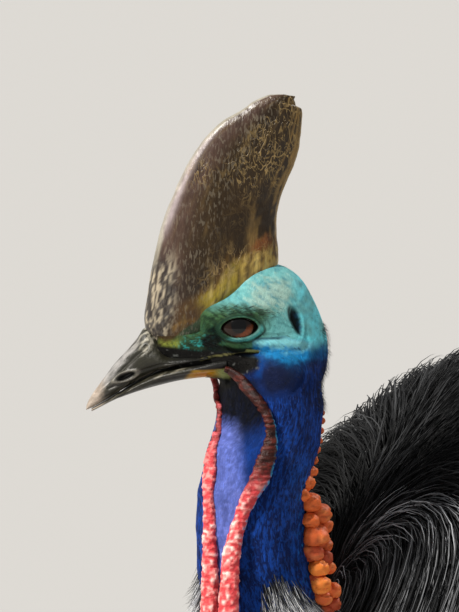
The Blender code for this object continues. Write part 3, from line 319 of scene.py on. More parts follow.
def carried_rings(path: Array, half_width: Array, half_depth: Array, sides: int, side_axis: Array) -> Array:
    """Elliptic sections square to a path.

    Args:
        path: points by three.
        half_width: half size along the side axis at each point.
        half_depth: half size across it.
        sides: points round a section.
        side_axis: one direction, or one for each point.

    Returns:
        Rings by sides by three: spot + cos(a) * wide * half_width + sin(a) * deep * half_depth.
    """
    tangents = np.gradient(path, axis=0)
    tangents /= np.linalg.norm(tangents, axis=1, keepdims=True)
    axis = np.broadcast_to(side_axis, path.shape)
    wide = axis - tangents * (axis * tangents).sum(1, keepdims=True)
    wide /= np.linalg.norm(wide, axis=1, keepdims=True)
    deep = np.cross(tangents, wide)
    turn = np.linspace(0, 2 * math.pi, sides, endpoint=False)
    return (
        path[:, None]
        + np.cos(turn)[None, :, None] * wide[:, None] * half_width[:, None, None]
        + np.sin(turn)[None, :, None] * deep[:, None] * half_depth[:, None, None]
    )


def strand_surface(paths: Array, half_width: Array, flatness: float, facing: Array, root_uv: Array) -> Surface:
    """Many closed, tapered, three-sided strands as one mesh.

    Args:
        paths: strands by stations by three; the last station is the tip.
        half_width: strands by stations.
        flatness: thickness as a share of width.
        facing: strands by three, roughly the way that each strand's flat side faces.
        root_uv: strands by two, each strand's place on the skin's unwrap.

    Returns:
        One surface, with a UV patch of 0.003 for each strand.
    """
    count, stations = paths.shape[:2]
    tangents = np.gradient(paths, axis=1)
    tangents /= np.linalg.norm(tangents, axis=2, keepdims=True) + 1e-12
    wide = np.cross(tangents, facing[:, None])
    wide /= np.linalg.norm(wide, axis=2, keepdims=True) + 1e-12
    deep = np.cross(wide, tangents)
    turn = np.array((math.pi / 2, math.pi * 7 / 6, math.pi * 11 / 6))
    body = (
        paths[:, :-1, None]
        + np.cos(turn)[None, None, :, None] * (wide[:, :-1] * half_width[:, :-1, None])[:, :, None]
        + np.sin(turn)[None, None, :, None] * (deep[:, :-1] * half_width[:, :-1, None] * flatness)[:, :, None]
    )
    rings = stations - 1
    each = rings * 3 + 1
    points = np.concatenate([body.reshape(count, -1, 3), paths[:, -1:]], axis=1).reshape(-1, 3)
    faces = []
    for ring in range(rings - 1):
        for side in range(3):
            after = (side + 1) % 3
            a, b = ring * 3 + side, ring * 3 + after
            faces.append((a, b, b + 3, a + 3))
    base = (rings - 1) * 3
    for side in range(3):
        after = (side + 1) % 3
        faces.append((base + side, base + after, rings * 3, rings * 3))
    faces.append((2, 1, 0, 0))
    one = np.array(faces)
    every = (one[None] + (np.arange(count) * each)[:, None, None]).reshape(-1, 4)
    share = np.concatenate([np.repeat(np.arange(rings), 3) / rings, [1.0]])
    across = np.concatenate([np.tile(np.arange(3) / 3, rings), [0.5]])
    patch = np.stack([across, share], -1) * 0.003
    uv = (root_uv[:, None] + patch[None]).reshape(-1, 2)
    return Surface(points, every, uv).turned_out()


# Shader building


class Nodes:
    """A small hand for wiring one material's or one group's nodes."""

    def __init__(self, tree: bpy.types.NodeTree) -> None:
        """Keeps the tree that the nodes go in."""
        self.tree = tree

    def add(self, kind: str, **settings: object) -> bpy.types.Node:
        """Adds a node of a kind and sets its properties.

        Args:
            kind: Blender's name for the node, without ShaderNode.
            settings: properties of the node.

        Returns:
            The node.
        """
        node = self.tree.nodes.new("ShaderNode" + kind)
        for key, value in settings.items():
            setattr(node, key, value)
        return node

    def put(self, value: object, socket: bpy.types.NodeSocket) -> None:
        """Links a socket to another, or sets it to a number or a colour."""
        if isinstance(value, bpy.types.NodeSocket):
            self.tree.links.new(value, socket)
        elif isinstance(value, tuple) and socket.type == "RGBA":
            socket.default_value = (*value[:3], 1)
        else:
            socket.default_value = value

    def maths(self, kind: str, *values: object) -> bpy.types.NodeSocket:
        """A Math node on one to three numbers."""
        node = self.add("Math", operation=kind)
        for value, socket in zip(values, node.inputs):
            self.put(value, socket)
        return node.outputs[0]

    def mix(self, share: object, a: object, b: object, kind: str = "MIX") -> bpy.types.NodeSocket:
        """A colour mix of a and b by a share, in one of Blender's blend types."""
        node = self.add("Mix", data_type="RGBA", blend_type=kind)
        self.put(share, node.inputs[0])
        self.put(a, node.inputs[6])
        self.put(b, node.inputs[7])
        return node.outputs[2]

    def spread(self, value: object, low: float, high: float, out_low: float = 0.0, out_high: float = 1.0) -> bpy.types.NodeSocket:
        """Maps a value's range to another, clamped and smooth."""
        node = self.add("MapRange", interpolation_type="SMOOTHSTEP")
        for socket, given in zip(node.inputs, (value, low, high, out_low, out_high)):
            self.put(given, socket)
        return node.outputs[0]

    def noise(self, vector: object, scale: float, detail: float = 4.0, rough: float = 0.55, warp: float = 0.0) -> bpy.types.NodeSocket:
        """A noise texture's value at a vector."""
        node = self.add("TexNoise")
        self.put(vector, node.inputs["Vector"])
        node.inputs["Scale"].default_value = scale
        node.inputs["Detail"].default_value = detail
        node.inputs["Roughness"].default_value = rough
        node.inputs["Distortion"].default_value = warp
        return node.outputs[0]

    def stretched(self, vector: object, scale: tuple[float, float, float]) -> bpy.types.NodeSocket:
        """A vector scaled along each axis by a Mapping node."""
        node = self.add("Mapping")
        self.put(vector, node.inputs[0])
        node.inputs["Scale"].default_value = scale
        return node.outputs[0]

    def group(self, group: bpy.types.NodeTree, **values: object) -> bpy.types.Node:
        """Places a shared group and sets its inputs, with underscores for spaces in their names."""
        node = self.add("Group", node_tree=group)
        for key, value in values.items():
            self.put(value, node.inputs[key.replace("_", " ")])
        return node


def linear(red: float, green: float, blue: float) -> Colour:
    """A screen colour as the linear colour that a shader takes."""
    return tuple(c / 12.92 if c <= 0.04045 else ((c + 0.055) / 1.055) ** 2.4 for c in (red, green, blue))


def new_group(name: str, inputs: dict[str, tuple[str, object]], outputs: dict[str, str]) -> tuple[bpy.types.NodeTree, Nodes, bpy.types.Node, bpy.types.Node]:
    """Starts a shader group with named sockets.

    Args:
        name: the group's name.
        inputs: socket name to (socket type, value it starts with).
        outputs: socket name to socket type.

    Returns:
        The group, a hand for its nodes, its input node and its output node.
    """
    tree = bpy.data.node_groups.new(name, "ShaderNodeTree")
    for key, (kind, value) in inputs.items():
        socket = tree.interface.new_socket(key, in_out="INPUT", socket_type=kind)
        if value is not None:
            socket.default_value = value
    for key, kind in outputs.items():
        tree.interface.new_socket(key, in_out="OUTPUT", socket_type=kind)
    hand = Nodes(tree)
    return tree, hand, tree.nodes.new("NodeGroupInput"), tree.nodes.new("NodeGroupOutput")


class SharedEffects:
    """The node groups that more than one finish uses, each built once."""

    def __init__(self) -> None:
        """Builds the groups."""
        self.mottle = self._mottle()
        self.worm_lines = self._worm_lines()
        self.scales = self._scales()

    @staticmethod
    def _mottle() -> bpy.types.NodeTree:
        """Colour that wanders in brightness at two scales: colour * (1 + strength * noise)."""
        tree, hand, given, result = new_group(
            "mottle",
            {
                "Colour": ("NodeSocketColor", (0.5, 0.5, 0.5, 1)),
                "Vector": ("NodeSocketVector", None),
                "Coarse": ("NodeSocketFloat", 60.0),
                "Fine": ("NodeSocketFloat", 700.0),
                "Strength": ("NodeSocketFloat", 0.5),
            },
            {"Colour": "NodeSocketColor", "Height": "NodeSocketFloat"},
        )
        values = []
        for scale, detail in (("Coarse", 3.0), ("Fine", 4.0)):
            node = hand.add("TexNoise")
            hand.put(given.outputs["Vector"], node.inputs["Vector"])
            hand.put(given.outputs[scale], node.inputs["Scale"])
            node.inputs["Detail"].default_value = detail
            values.append(node.outputs[0])
        both = hand.maths("ADD", hand.maths("MULTIPLY", values[0], 0.55), hand.maths("MULTIPLY", values[1], 0.45))
        swing = hand.maths("MULTIPLY", hand.maths("SUBTRACT", both, 0.5), 2.6)
        factor = hand.maths("ADD", 1.0, hand.maths("MULTIPLY", swing, given.outputs["Strength"]))
        grey = hand.add("CombineColor")
        for socket in grey.inputs:
            hand.put(factor, socket)
        hand.put(hand.mix(1.0, given.outputs["Colour"], grey.outputs[0], "MULTIPLY"), result.inputs["Colour"])
        hand.put(values[1], result.inputs["Height"])
        return tree

    @staticmethod
    def _worm_lines() -> bpy.types.NodeTree:
        """A mask of thin wandering scratches: where a warped noise passes its middle value."""
        tree, hand, given, result = new_group(
            "worm_lines",
            {
                "Vector": ("NodeSocketVector", None),
                "Scale": ("NodeSocketFloat", 60.0),
                "Width": ("NodeSocketFloat", 0.02),
            },
            {"Mask": "NodeSocketFloat"},
        )
        node = hand.add("TexNoise")
        hand.put(given.outputs["Vector"], node.inputs["Vector"])
        hand.put(given.outputs["Scale"], node.inputs["Scale"])
        node.inputs["Detail"].default_value = 2.5
        node.inputs["Distortion"].default_value = 1.1
        off = hand.maths("ABSOLUTE", hand.maths("SUBTRACT", node.outputs[0], 0.5))
        share = hand.maths("DIVIDE", off, given.outputs["Width"])
        line = hand.maths("SUBTRACT", 1.0, hand.maths("MINIMUM", share, 1.0))
        hand.put(line, result.inputs["Mask"])
        return tree

    @staticmethod
    def _scales() -> bpy.types.NodeTree:
        """Small horny scales: a height that is round on each cell and low between cells."""
        tree, hand, given, result = new_group(
            "scales",
            {"Vector": ("NodeSocketVector", None), "Scale": ("NodeSocketFloat", 300.0)},
            {"Height": "NodeSocketFloat", "Gap": "NodeSocketFloat"},
        )
        cells = hand.add("TexVoronoi", feature="DISTANCE_TO_EDGE")
        hand.put(given.outputs["Vector"], cells.inputs["Vector"])
        hand.put(given.outputs["Scale"], cells.inputs["Scale"])
        hand.put(hand.spread(cells.outputs["Distance"], 0.0, 0.22), result.inputs["Height"])
        hand.put(hand.spread(cells.outputs["Distance"], 0.0, 0.07, 1.0, 0.0), result.inputs["Gap"])
        return tree


def new_material(name: str) -> tuple[bpy.types.Material, Nodes, bpy.types.Node]:
    """An empty material with a Principled shader.

    Returns:
        The material, a hand for its nodes and the shader node.
    """
    made = bpy.data.materials.new(name)
    made.use_nodes = True
    tree = made.node_tree
    tree.nodes.clear()
    hand = Nodes(tree)
    shader = hand.add("BsdfPrincipled")
    output = hand.add("OutputMaterial")
    hand.put(shader.outputs[0], output.inputs[0])
    return made, hand, shader


def bump(hand: Nodes, shader: bpy.types.Node, *layers: tuple[object, float]) -> None:
    """Stacks bump layers, each a height and a depth in metres, under a shader's normal."""
    last = None
    for height, depth in layers:
        node = hand.add("Bump")
        node.inputs["Strength"].default_value = 1.0
        node.inputs["Distance"].default_value = depth
        hand.put(height, node.inputs["Height"])
        if last is not None:
            hand.put(last, node.inputs["Normal"])
        last = node.outputs[0]
    if last is not None:
        hand.put(last, shader.inputs["Normal"])


# Where the head and the body lie


@dataclass(frozen=True)
class Stance:
    """Places in the head's axes and in the body's axes, carried to the row frame.

    Args:
        eyes: the point midway between the eyes, in the row frame.
        turn: how far the head is turned from the body's line.
        neck_top_y: the neck's top on the body's line, in the body's axes.
        neck_top_behind: how far the neck's top lies behind the eyes.
        eye_height: the eyes' height in the body's axes.
    """

    eyes: Array
    turn: float = math.radians(50)
    neck_top_y: float = -0.260
    neck_top_behind: float = 0.024
    eye_height: float = 0.975

    @property
    def shift(self) -> Array:
        """What the body's axes are moved by to reach the row frame."""
        ahead = np.array((-math.sin(self.turn), -math.cos(self.turn), 0.0))
        return self.eyes - (np.array((0, self.neck_top_y, self.eye_height)) + ahead * self.neck_top_behind)

    def head(self, points: Array) -> Array:
        """Points of the head's axes in the row frame: turned about the vertical, then moved to the eyes."""
        c, s = math.cos(self.turn), math.sin(self.turn)
        x, y, z = np.moveaxis(np.asarray(points, float), -1, 0)
        return np.stack([x * c + y * s, -x * s + y * c, z], -1) + self.eyes

    def head_way(self, directions: Array) -> Array:
        """Directions of the head's axes in the row frame."""
        return self.head(directions) - self.eyes

    def to_head(self, points: Array) -> Array:
        """Points of the row frame in the head's axes."""
        c, s = math.cos(self.turn), math.sin(self.turn)
        x, y, z = np.moveaxis(np.asarray(points, float) - self.eyes, -1, 0)
        return np.stack([x * c - y * s, x * s + y * c, z], -1)

    def body(self, points: Array) -> Array:
        """Points of the body's axes in the row frame."""
        return np.asarray(points, float) + self.shift

    @staticmethod
    def read() -> "Stance":
        """The stance of the frame, from the places of its two eyes."""
        left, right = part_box("eye_left"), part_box("eye_right")
        return Stance(np.array(sum((*left, *right), Vector((0, 0, 0))) / 4))


def in_head(forward: float | Array, up: float | Array, side: float | Array) -> Array:
    """A point of the head's axes from metres forward, up and to the bird's left."""
    forward, up, side = np.broadcast_arrays(forward, up, side)
    return np.stack([side, -forward, up], -1).astype(float)


def line_distance(u: Array, v: Array, line: tuple[tuple[float, float], ...]) -> tuple[Array, Array]:
    """How far places are from a broken line, and how far along it the nearest point is, as a share."""
    best = np.full(np.shape(u), 1e9)
    share = np.zeros(np.shape(u))
    total = len(line) - 1
    for i, ((ua, va), (ub, vb)) in enumerate(zip(line[:-1], line[1:])):
        length = (ub - ua) ** 2 + (vb - va) ** 2
        t = np.clip(((u - ua) * (ub - ua) + (v - va) * (vb - va)) / length, 0, 1)
        gap = np.hypot(u - ua - t * (ub - ua), v - va - t * (vb - va))
        closer = gap < best
        best = np.where(closer, gap, best)
        share = np.where(closer, (i + t) / total, share)
    return best, share


@dataclass
class Paint:
    """Colours laid over one another by masks.

    Args:
        values: the colours so far, three numbers along the last axis.
    """

    values: Array

    @staticmethod
    def plain(shape: tuple[int, ...], colour: Colour) -> "Paint":
        """One colour everywhere."""
        return Paint(np.broadcast_to(np.array(colour), (*shape, 3)).copy())

    def lay(self, colour: Colour, mask: Array) -> "Paint":
        """Lays a colour on by a mask between 0 and 1."""
        mask = np.clip(mask, 0, 1)[..., None]
        self.values = self.values * (1 - mask) + np.array(colour) * mask
        return self

    def shade(self, factor: Array) -> "Paint":
        """Multiplies the colours by a factor."""
        self.values = np.clip(self.values * factor[..., None], 0, 1)
        return self


# Head and neck


@dataclass
class EyeOpening:
    """The almond opening between the lids, in millimetres (forward, up) from the eyes' line.

    Args:
        centre_u: middle of the opening, forward.
        centre_v: and up.
        half_length: half its length.
        top: height of the upper lid's edge.
        bottom: depth of the lower lid's edge.
        rise: how much the rear corner lies above the front one.
    """

    centre_u: float = 0.4
    centre_v: float = 1.5
    half_length: float = 13.8
    top: float = 7.7
    bottom: float = 7.0
    rise: float = 0.6

    def edge(self, u: Array, v: Array) -> Array:
        """0 on the lids' edge, below 0 in the opening: (x^2.1 + y^1.7)^(1/1.9) - 1 of the shares x and y."""
        x = (u - self.centre_u) / self.half_length
        middle = self.centre_v - self.rise * x
        y = np.where(v > middle, (v - middle) / self.top, (middle - v) / self.bottom)
        return (np.abs(x) ** 2.1 + np.abs(y) ** 1.7) ** (1 / 1.9) - 1


@dataclass
class HeadSkin:
    """The one skin of head and neck, from deep in the body to the face inside the bill.

    Args:
        stance: where the head lies.
        blobs: (forward, up, side), half (length, height, width), in millimetres.
        neck: (depth, lean forward on the body's line, radius), in millimetres.
        rings: how many sections down the neck, round the head and along the face.
        sides: points round a section.
    """

    stance: Stance
    blobs: dict[str, tuple[tuple[float, ...], tuple[float, ...]]] = field(
        default_factory=lambda: {
            "cranium": ((-20, 7, 0), (36, 40.5, 29)),
            "occiput": ((-37, -19, 0), (29, 42, 28)),
            "brow": ((2, 8, 11), (30, 15, 14)),
            "face": ((34, -15, 0), (42, 15, 17)),
            "cheek": ((-33, -40, 15), (25, 24, 17)),
            "jaw": ((8, -27, 0), (46, 12.5, 21)),
            "throat": ((-8, -52, 0), (24, 26, 22)),
        }
    )
    neck: tuple[tuple[float, float, float], ...] = (
        (40, 0, 33),
        (60, 0, 37.5),
        (82, 5, 38.5),
        (103, 15, 39),
        (128, 23, 39.5),
        (150, 24, 40),
        (175, 22, 41),
        (205, 14, 44),
        (240, -8, 46),
        (285, -48, 43),
    )
    blend: float = 0.009
    foot_depth: float = 0.275
    pivot: tuple[float, float] = (0.042, 0.088)
    face_end: float = 0.062
    eye_side: float = 0.0172
    lid_half: tuple[float, float, float] = (0.0145, 0.0177, 0.0177)
    rings: tuple[int, int, int] = (118, 188, 16)
    sides: int = 236
    opening: EyeOpening = field(default_factory=EyeOpening)
    grid: Array | None = None
    normals: Array | None = None
    uv: Array | None = None

    def neck_centre(self, depth: float | Array) -> tuple[Array, Array]:
        """The neck's middle and radius at depths below the eyes."""
        table = np.array(self.neck, float) * MM
        lean = np.interp(depth, table[:, 0], table[:, 1])
        radius = np.interp(depth, table[:, 0], table[:, 2])
        forward = -self.stance.neck_top_behind + lean * math.cos(self.stance.turn)
        return in_head(forward, -np.asarray(depth, float), lean * math.sin(self.stance.turn)), radius

    def distance(self, points: Array, lids: bool = True) -> Array:
        """About how far points are outside the skin: ellipsoids and tapered cylinders, softly joined."""
        found = np.full(points.shape[:-1], 1.0)
        shapes = [(c, h, self.blend) for c, h in self.blobs.values()]
        if lids:
            eye_half = tuple(h / MM for h in self.lid_half)
            shapes.append(((0, 0, self.eye_side / MM), (eye_half[1], eye_half[2], eye_half[0]), 0.0035))
        for (forward, up, side), (length, height, width), reach in shapes:
            half = np.array((width, length, height)) * MM
            for hand in (1, -1) if side else (1,):
                rel = points - in_head(forward * MM, up * MM, hand * side * MM)
                near = np.linalg.norm(rel / half, axis=-1)
                slope = np.linalg.norm(rel / (half * half), axis=-1) + 1e-9
                found = soft_minimum(found, near * (near - 1) / slope, reach)
        depths = np.array(self.neck, float)[:, 0] * MM
        for upper, lower in zip(depths[:-1], depths[1:]):
            (a, ra), (b, rb) = self.neck_centre(upper), self.neck_centre(lower)
            span = b - a
            share = np.clip((points - a) @ span / (span @ span), 0, 1)
            gap = np.linalg.norm(points - (a + share[..., None] * span), axis=-1) - (ra + (rb - ra) * share)
            found = soft_minimum(found, gap, self.blend * 0.6)
        return found

    def sections(self) -> tuple[Array, Array]:
        """Where each section starts and which way is out of its back or crown."""
        neck_count, arc_count, face_count = self.rings
        pivot_forward, pivot_depth = self.pivot
        depths = np.linspace(self.foot_depth, pivot_depth, neck_count + 1)[:-1]
        origins = [self.neck_centre(depths)[0]]
        outs = [np.broadcast_to(in_head(-1, 0, 0), (neck_count, 3))]
        shares = crowded(arc_count, 0, 1, (0.70, 0.50), 0.13, 1.1)
        angles = shares * math.pi / 2
        out = in_head(-np.cos(angles), np.sin(angles), 0)
        reach = 0.061 + 0.006 * shares + 0.023 * np.sin(2 * angles)
        start = self.neck_centre(pivot_depth)[0][0]
        origin = in_head(pivot_forward, -pivot_depth, 0) + out * reach[:, None]
        origin[:, 0] += (1 - shares) * start
        origins.append(origin)
        outs.append(out)
        forwards = np.linspace(pivot_forward, self.face_end, face_count + 1)[1:]
        origins.append(in_head(forwards, -0.021, 0.0))
        outs.append(np.broadcast_to(in_head(0, 1, 0), (face_count, 3)))
        return np.concatenate(origins), np.concatenate(outs)

    def turns(self) -> Array:
        """Angles round a section, crowded where the eyes and the ears lie."""
        half = crowded(self.sides // 2 + 1, 0, math.pi, (1.10, 0.62), 0.36, 1.0)
        return np.concatenate([half[:-1], 2 * math.pi - half[:0:-1]])

    def solved(self) -> tuple[Array, Array]:
        """The smooth skin as a grid, by walking each ray in to where the distance is 0."""
        origins, outs = self.sections()
        turns = self.turns()
        side = np.array((1.0, 0, 0))
        rays = np.cos(turns)[None, :, None] * outs[:, None] + np.sin(turns)[None, :, None] * side
        reach = np.full(rays.shape[:2], 0.085)
        for _ in range(30):
            reach -= 0.85 * self.distance(origins[:, None] + rays * reach[..., None])
        return origins[:, None] + rays * reach[..., None], rays

    @staticmethod
    def ear_edge(u: Array, v: Array) -> Array:
        """0 on the ear's edge, below 0 in it: an oval, wide above, that leans back below."""
        wide = 4.2 + 0.10 * (v - 6.2)
        return np.hypot((u + 42.2 - 0.30 * (v - 6)) / np.maximum(wide, 2.2), (v - 6.2) / 10.4) - 1

    def relief(self, grid: Array) -> Array:
        """Folds, lids, ears and the mouth's line as heights over the smooth skin, in metres."""
        u, v, w = -grid[..., 1] / MM, grid[..., 2] / MM, grid[..., 0] / MM
        edge = self.opening.edge(u, v)
        near_eye = smoothstep(10, 15, np.abs(w)) * smoothstep(1.6, 1.0, edge)
        height = near_eye * (0.55 * hump(edge, 0.07, 0.09) - 0.50 * hump(edge, 0.40, 0.06))
        above = smoothstep(-2, 4, v)
        height += near_eye * (0.05 + 0.25 * above) * hump(edge, 0.60, 0.12)
        height -= near_eye * (0.05 + 0.35 * above) * hump(edge, 0.76, 0.06)
        height -= near_eye * 5.2 * smoothstep(0.0, -0.10, edge)
        ear = self.ear_edge(u, v)
        near_ear = smoothstep(8, 14, np.abs(w)) * smoothstep(2.0, 1.2, ear)
        height += near_ear * (0.5 * hump(ear, 0.18, 0.18) - 4.0 * smoothstep(0.10, -0.60, ear))
        band, _ = line_distance(u, v, ((-9, -10.5), (-18, -11), (-31, -10.5), (-44, -9)))
        sided = smoothstep(4, 12, np.abs(w))
        height += sided * (1.3 * hump(band, 0, 4.0) - 0.6 * hump(band, 6.4, 1.6))
        cheek = np.hypot((u + 30) / 17, (v + 31) / 16)
        height += sided * (2.8 * smoothstep(1.15, 0.1, cheek) - 0.4 * hump(cheek, 1.10, 0.12))
        mouth, _ = line_distance(u, v, ((26, -23.5), (18, -21.3), (2, -19.2), (-13, -16.8)))
        height += sided * (0.5 * hump(mouth, 1.9, 0.8) - 1.5 * hump(mouth, 0, 0.75))
        folds = layered_noise(np.stack([w * 0.9, u * 0.9, v * 0.22], -1), 6.0, 3)
        throat = smoothstep(-34, -50, v) * smoothstep(-26, 6, u)
        neck = smoothstep(-36, -60, v)
        height += neck * (0.35 + 0.9 * throat) * (0.5 - 1.6 * np.abs(folds))
        under = smoothstep(-30, -42, v) * smoothstep(-80, -55, v) * smoothstep(-14, 0, u)
        creases = lattice_noise(np.stack([w * 0.5 + u, u * 0.3, v * 0.25 + w * 0.2], -1), 5.0, 8)
        height += under * 1.4 * (0.4 - 1.7 * np.abs(creases))
        height += 0.16 * layered_noise(np.stack([w, u, v], -1), 2.2, 5) * smoothstep(0.1, 0.3, edge)
        return height * MM

    def paint(self, grid: Array) -> Array:
        """The skin's colours, from masks in millimetres forward and up of the eyes."""
        u, v, w = -grid[..., 1] / MM, grid[..., 2] / MM, grid[..., 0] / MM
        spots = np.stack([w, u, v], -1)
        coarse = layered_noise(spots, 9.0, 21)
        fine = layered_noise(spots, 2.6, 22)
        flow = np.stack([w * 0.5, (u + 0.6 * v) * 0.22, (v - 0.6 * u) * 1.1], -1)
        hairs = layered_noise(flow, 1.8, 23)
        edge = self.opening.edge(u, v)
        sided = smoothstep(3, 10, np.abs(w))
        paint = Paint.plain(u.shape, linear(0.44, 0.72, 0.72))
        pale = np.exp(-(((u + 22) / 19) ** 2) - ((v - 26) / 15) ** 2)
        patchy = pale + 0.35 * coarse + 0.45 * hairs + 0.25 * fine
        paint.lay(linear(0.64, 0.76, 0.71), 0.85 * smoothstep(0.30, 0.80, patchy))
        paint.lay(linear(0.30, 0.58, 0.66), 0.5 * smoothstep(0.05, 0.5, -hairs) * smoothstep(6, 16, v))
        # The back of the crown is painted brighter: painted light for the side of the head that faces away from the key
        # light.
        paint.lay(linear(0.46, 0.94, 1.0), 0.88 * smoothstep(-36, -50, u) * smoothstep(-0.6, 0.4, coarse))
        paint.lay(linear(0.10, 0.34, 0.36), 0.55 * smoothstep(-0.1, 0.6, hairs) * smoothstep(20, 2, v) * smoothstep(-14, -34, u))
        paint.lay(linear(0.20, 0.42, 0.42), 0.5 * smoothstep(0.0, 0.6, fine) * smoothstep(-4, -16, u))
        ahead_of_ear = smoothstep(-30, -8, u + 0.5 * (v - 4) + 4 * coarse) * smoothstep(22, 10, v + 3 * coarse)
        paint.lay(linear(0.27, 0.42, 0.27), sided * ahead_of_ear)
        paint.lay(linear(0.28, 0.52, 0.42), sided * 0.7 * ahead_of_ear * smoothstep(6, -12, u) * smoothstep(6, -4, v))
        strokes = ahead_of_ear * smoothstep(-22, 4, u)
        paint.lay(linear(0.05, 0.11, 0.08), sided * 0.8 * smoothstep(-0.1, 0.5, hairs + 0.3 * fine) * strokes)
        paint.lay(linear(0.36, 0.44, 0.26), sided * 0.5 * smoothstep(0.2, 0.6, -hairs) * strokes * smoothstep(2, 14, v))
        teal = hump(v + 0.25 * (u - 30), -12, 8) * smoothstep(8, 22, u)
        paint.lay(linear(0.05, 0.09, 0.09), sided * 0.7 * teal)
        specks = layered_noise(spots, 1.2, 27)
        paint.lay(linear(0.20, 0.62, 0.60), sided * 0.85 * smoothstep(0.05, 0.35, specks) * teal)
        over = above_foot(u, v) + 1.5 * coarse
        olive = smoothstep(-9, -1, over) * smoothstep(24, 40, u)
        paint.lay(linear(0.25, 0.25, 0.11), sided * 0.75 * olive)
        under_foot = smoothstep(30, 36, u) * smoothstep(-1.5, 1.0, over)
        paint.lay(linear(0.22, 0.155, 0.07), sided * 0.95 * under_foot)
        foot = smoothstep(44, 49, u + 2.0 * fine) * smoothstep(-7, -12, v + 1.5 * coarse) * smoothstep(-25, -20, v)
        paint.lay(linear(0.48, 0.52, 0.20), sided * 0.9 * foot * smoothstep(-0.6, 0.2, fine))
        paint.lay(linear(0.09, 0.09, 0.08), smoothstep(59, 63, u))
        lore = np.exp(-(((u - 21.5) / 8.5) ** 2) - ((v + 9 + 0.15 * (u - 21)) / 5.4) ** 2)
        paint.lay(linear(0.03, 0.04, 0.035), sided * 0.95 * smoothstep(0.28, 0.60, lore + 0.22 * fine))
        corner = line_distance(u, v, ((24, -2), (14, -1)))[0]
        paint.lay(linear(0.04, 0.08, 0.09), sided * 0.75 * smoothstep(3.4, 1.0, corner + 1.0 * fine))
        band_top = -12.5 - 2.0 * hump(u, 0, 10)
        strip = smoothstep(band_top + 1.2, band_top - 0.8, v + 0.8 * fine) * smoothstep(-22, -19.5, v)
        paint.lay(linear(0.04, 0.045, 0.04), sided * 0.95 * strip * smoothstep(30, 24, u) * smoothstep(-16, -12, u + 1.5 * fine))
        brow = line_distance(u, v, ((14, 13.5), (4, 15.6), (-8, 15.0), (-20, 12)))[0]
        paint.lay(linear(0.12, 0.20, 0.13), sided * 0.6 * smoothstep(7.0, 1.0, brow) * smoothstep(-0.1, 0.35, hairs))
        paint.lay(linear(0.40, 0.50, 0.32), sided * 0.4 * smoothstep(7.0, 2.0, brow) * smoothstep(-0.1, -0.4, hairs))
        self._paint_below(paint, u, v, w, coarse, fine, hairs, sided)
        self._paint_lids(paint, u, v, edge, sided)
        ear = self.ear_edge(u, v)
        hollow = smoothstep(0.15, -0.35, ear + 0.20 * fine)
        rear_part = smoothstep(-41, -45, u - 0.30 * (v - 6))
        # Inside the sunken ear opening is painted dark as painted shade; its rear part is left bluer.
        paint.lay(linear(0.05, 0.09, 0.13), sided * 0.95 * hollow)
        paint.lay(linear(0.16, 0.34, 0.48), sided * 0.6 * hollow * rear_part * smoothstep(-0.2, 0.3, hairs + fine))
        fore = hump(ear, 0.08, 0.20) * smoothstep(-43, -38, u - 0.30 * (v - 6))
        paint.lay(linear(0.14, 0.11, 0.09), sided * 0.85 * np.maximum(fore, hollow * (1 - rear_part) * 0.8))
        return paint.shade(1 + 0.28 * fine + 0.12 * coarse + 0.20 * hairs).values

    @staticmethod
    def _paint_lids(paint: Paint, u: Array, v: Array, edge: Array, sided: Array) -> None:
        """Lays a pale turquoise lower lid, a thin pale line on the upper one and the dark rims, with painted shade in
        the creases round the lids and in their fine folds.
        """
        over = smoothstep(-2, 5, v)
        lid = smoothstep(0.02, 0.10, edge) * smoothstep(0.46 - 0.14 * over, 0.36 - 0.14 * over, edge)
        low = smoothstep(3.5, -2.5, v + 0.40 * (u + 10))
        paint.lay(linear(0.11, 0.22, 0.16), sided * lid)
        paint.lay(linear(0.36, 0.74, 0.72), sided * lid * low * smoothstep(14, 5, u))
        paint.lay(linear(0.60, 0.84, 0.80), sided * hump(edge, 0.12, 0.06) * low * smoothstep(12, 4, u))
        # A dark line round the lid: painted shade in its crease.
        paint.lay(linear(0.015, 0.04, 0.04), sided * (0.95 - 0.35 * over) * hump(edge, 0.51 - 0.16 * over, 0.08))
        # Dark green lines in the fine folds round the eye: painted shade.
        creases = layered_noise(np.stack([edge * 15, u * 0.12, v * 0.12], -1), 1.0, 25)
        paint.lay(linear(0.03, 0.08, 0.07), sided * 0.55 * smoothstep(0.05, 0.45, creases) * smoothstep(0.1, 0.2, edge) * smoothstep(0.9, 0.6, edge))
        # Painted shade in the groove above the eye.
        paint.lay(linear(0.04, 0.09, 0.07), sided * 0.35 * hump(edge, 0.76, 0.07) * smoothstep(0, 5, v))
        paint.lay(linear(0.26, 0.46, 0.38), sided * 0.7 * hump(edge, 0.115, 0.035) * smoothstep(1.0, 4.0, v) * smoothstep(10, 2, u))
        paint.lay(linear(0.03, 0.03, 0.025), sided * smoothstep(0.055, 0.0, edge))

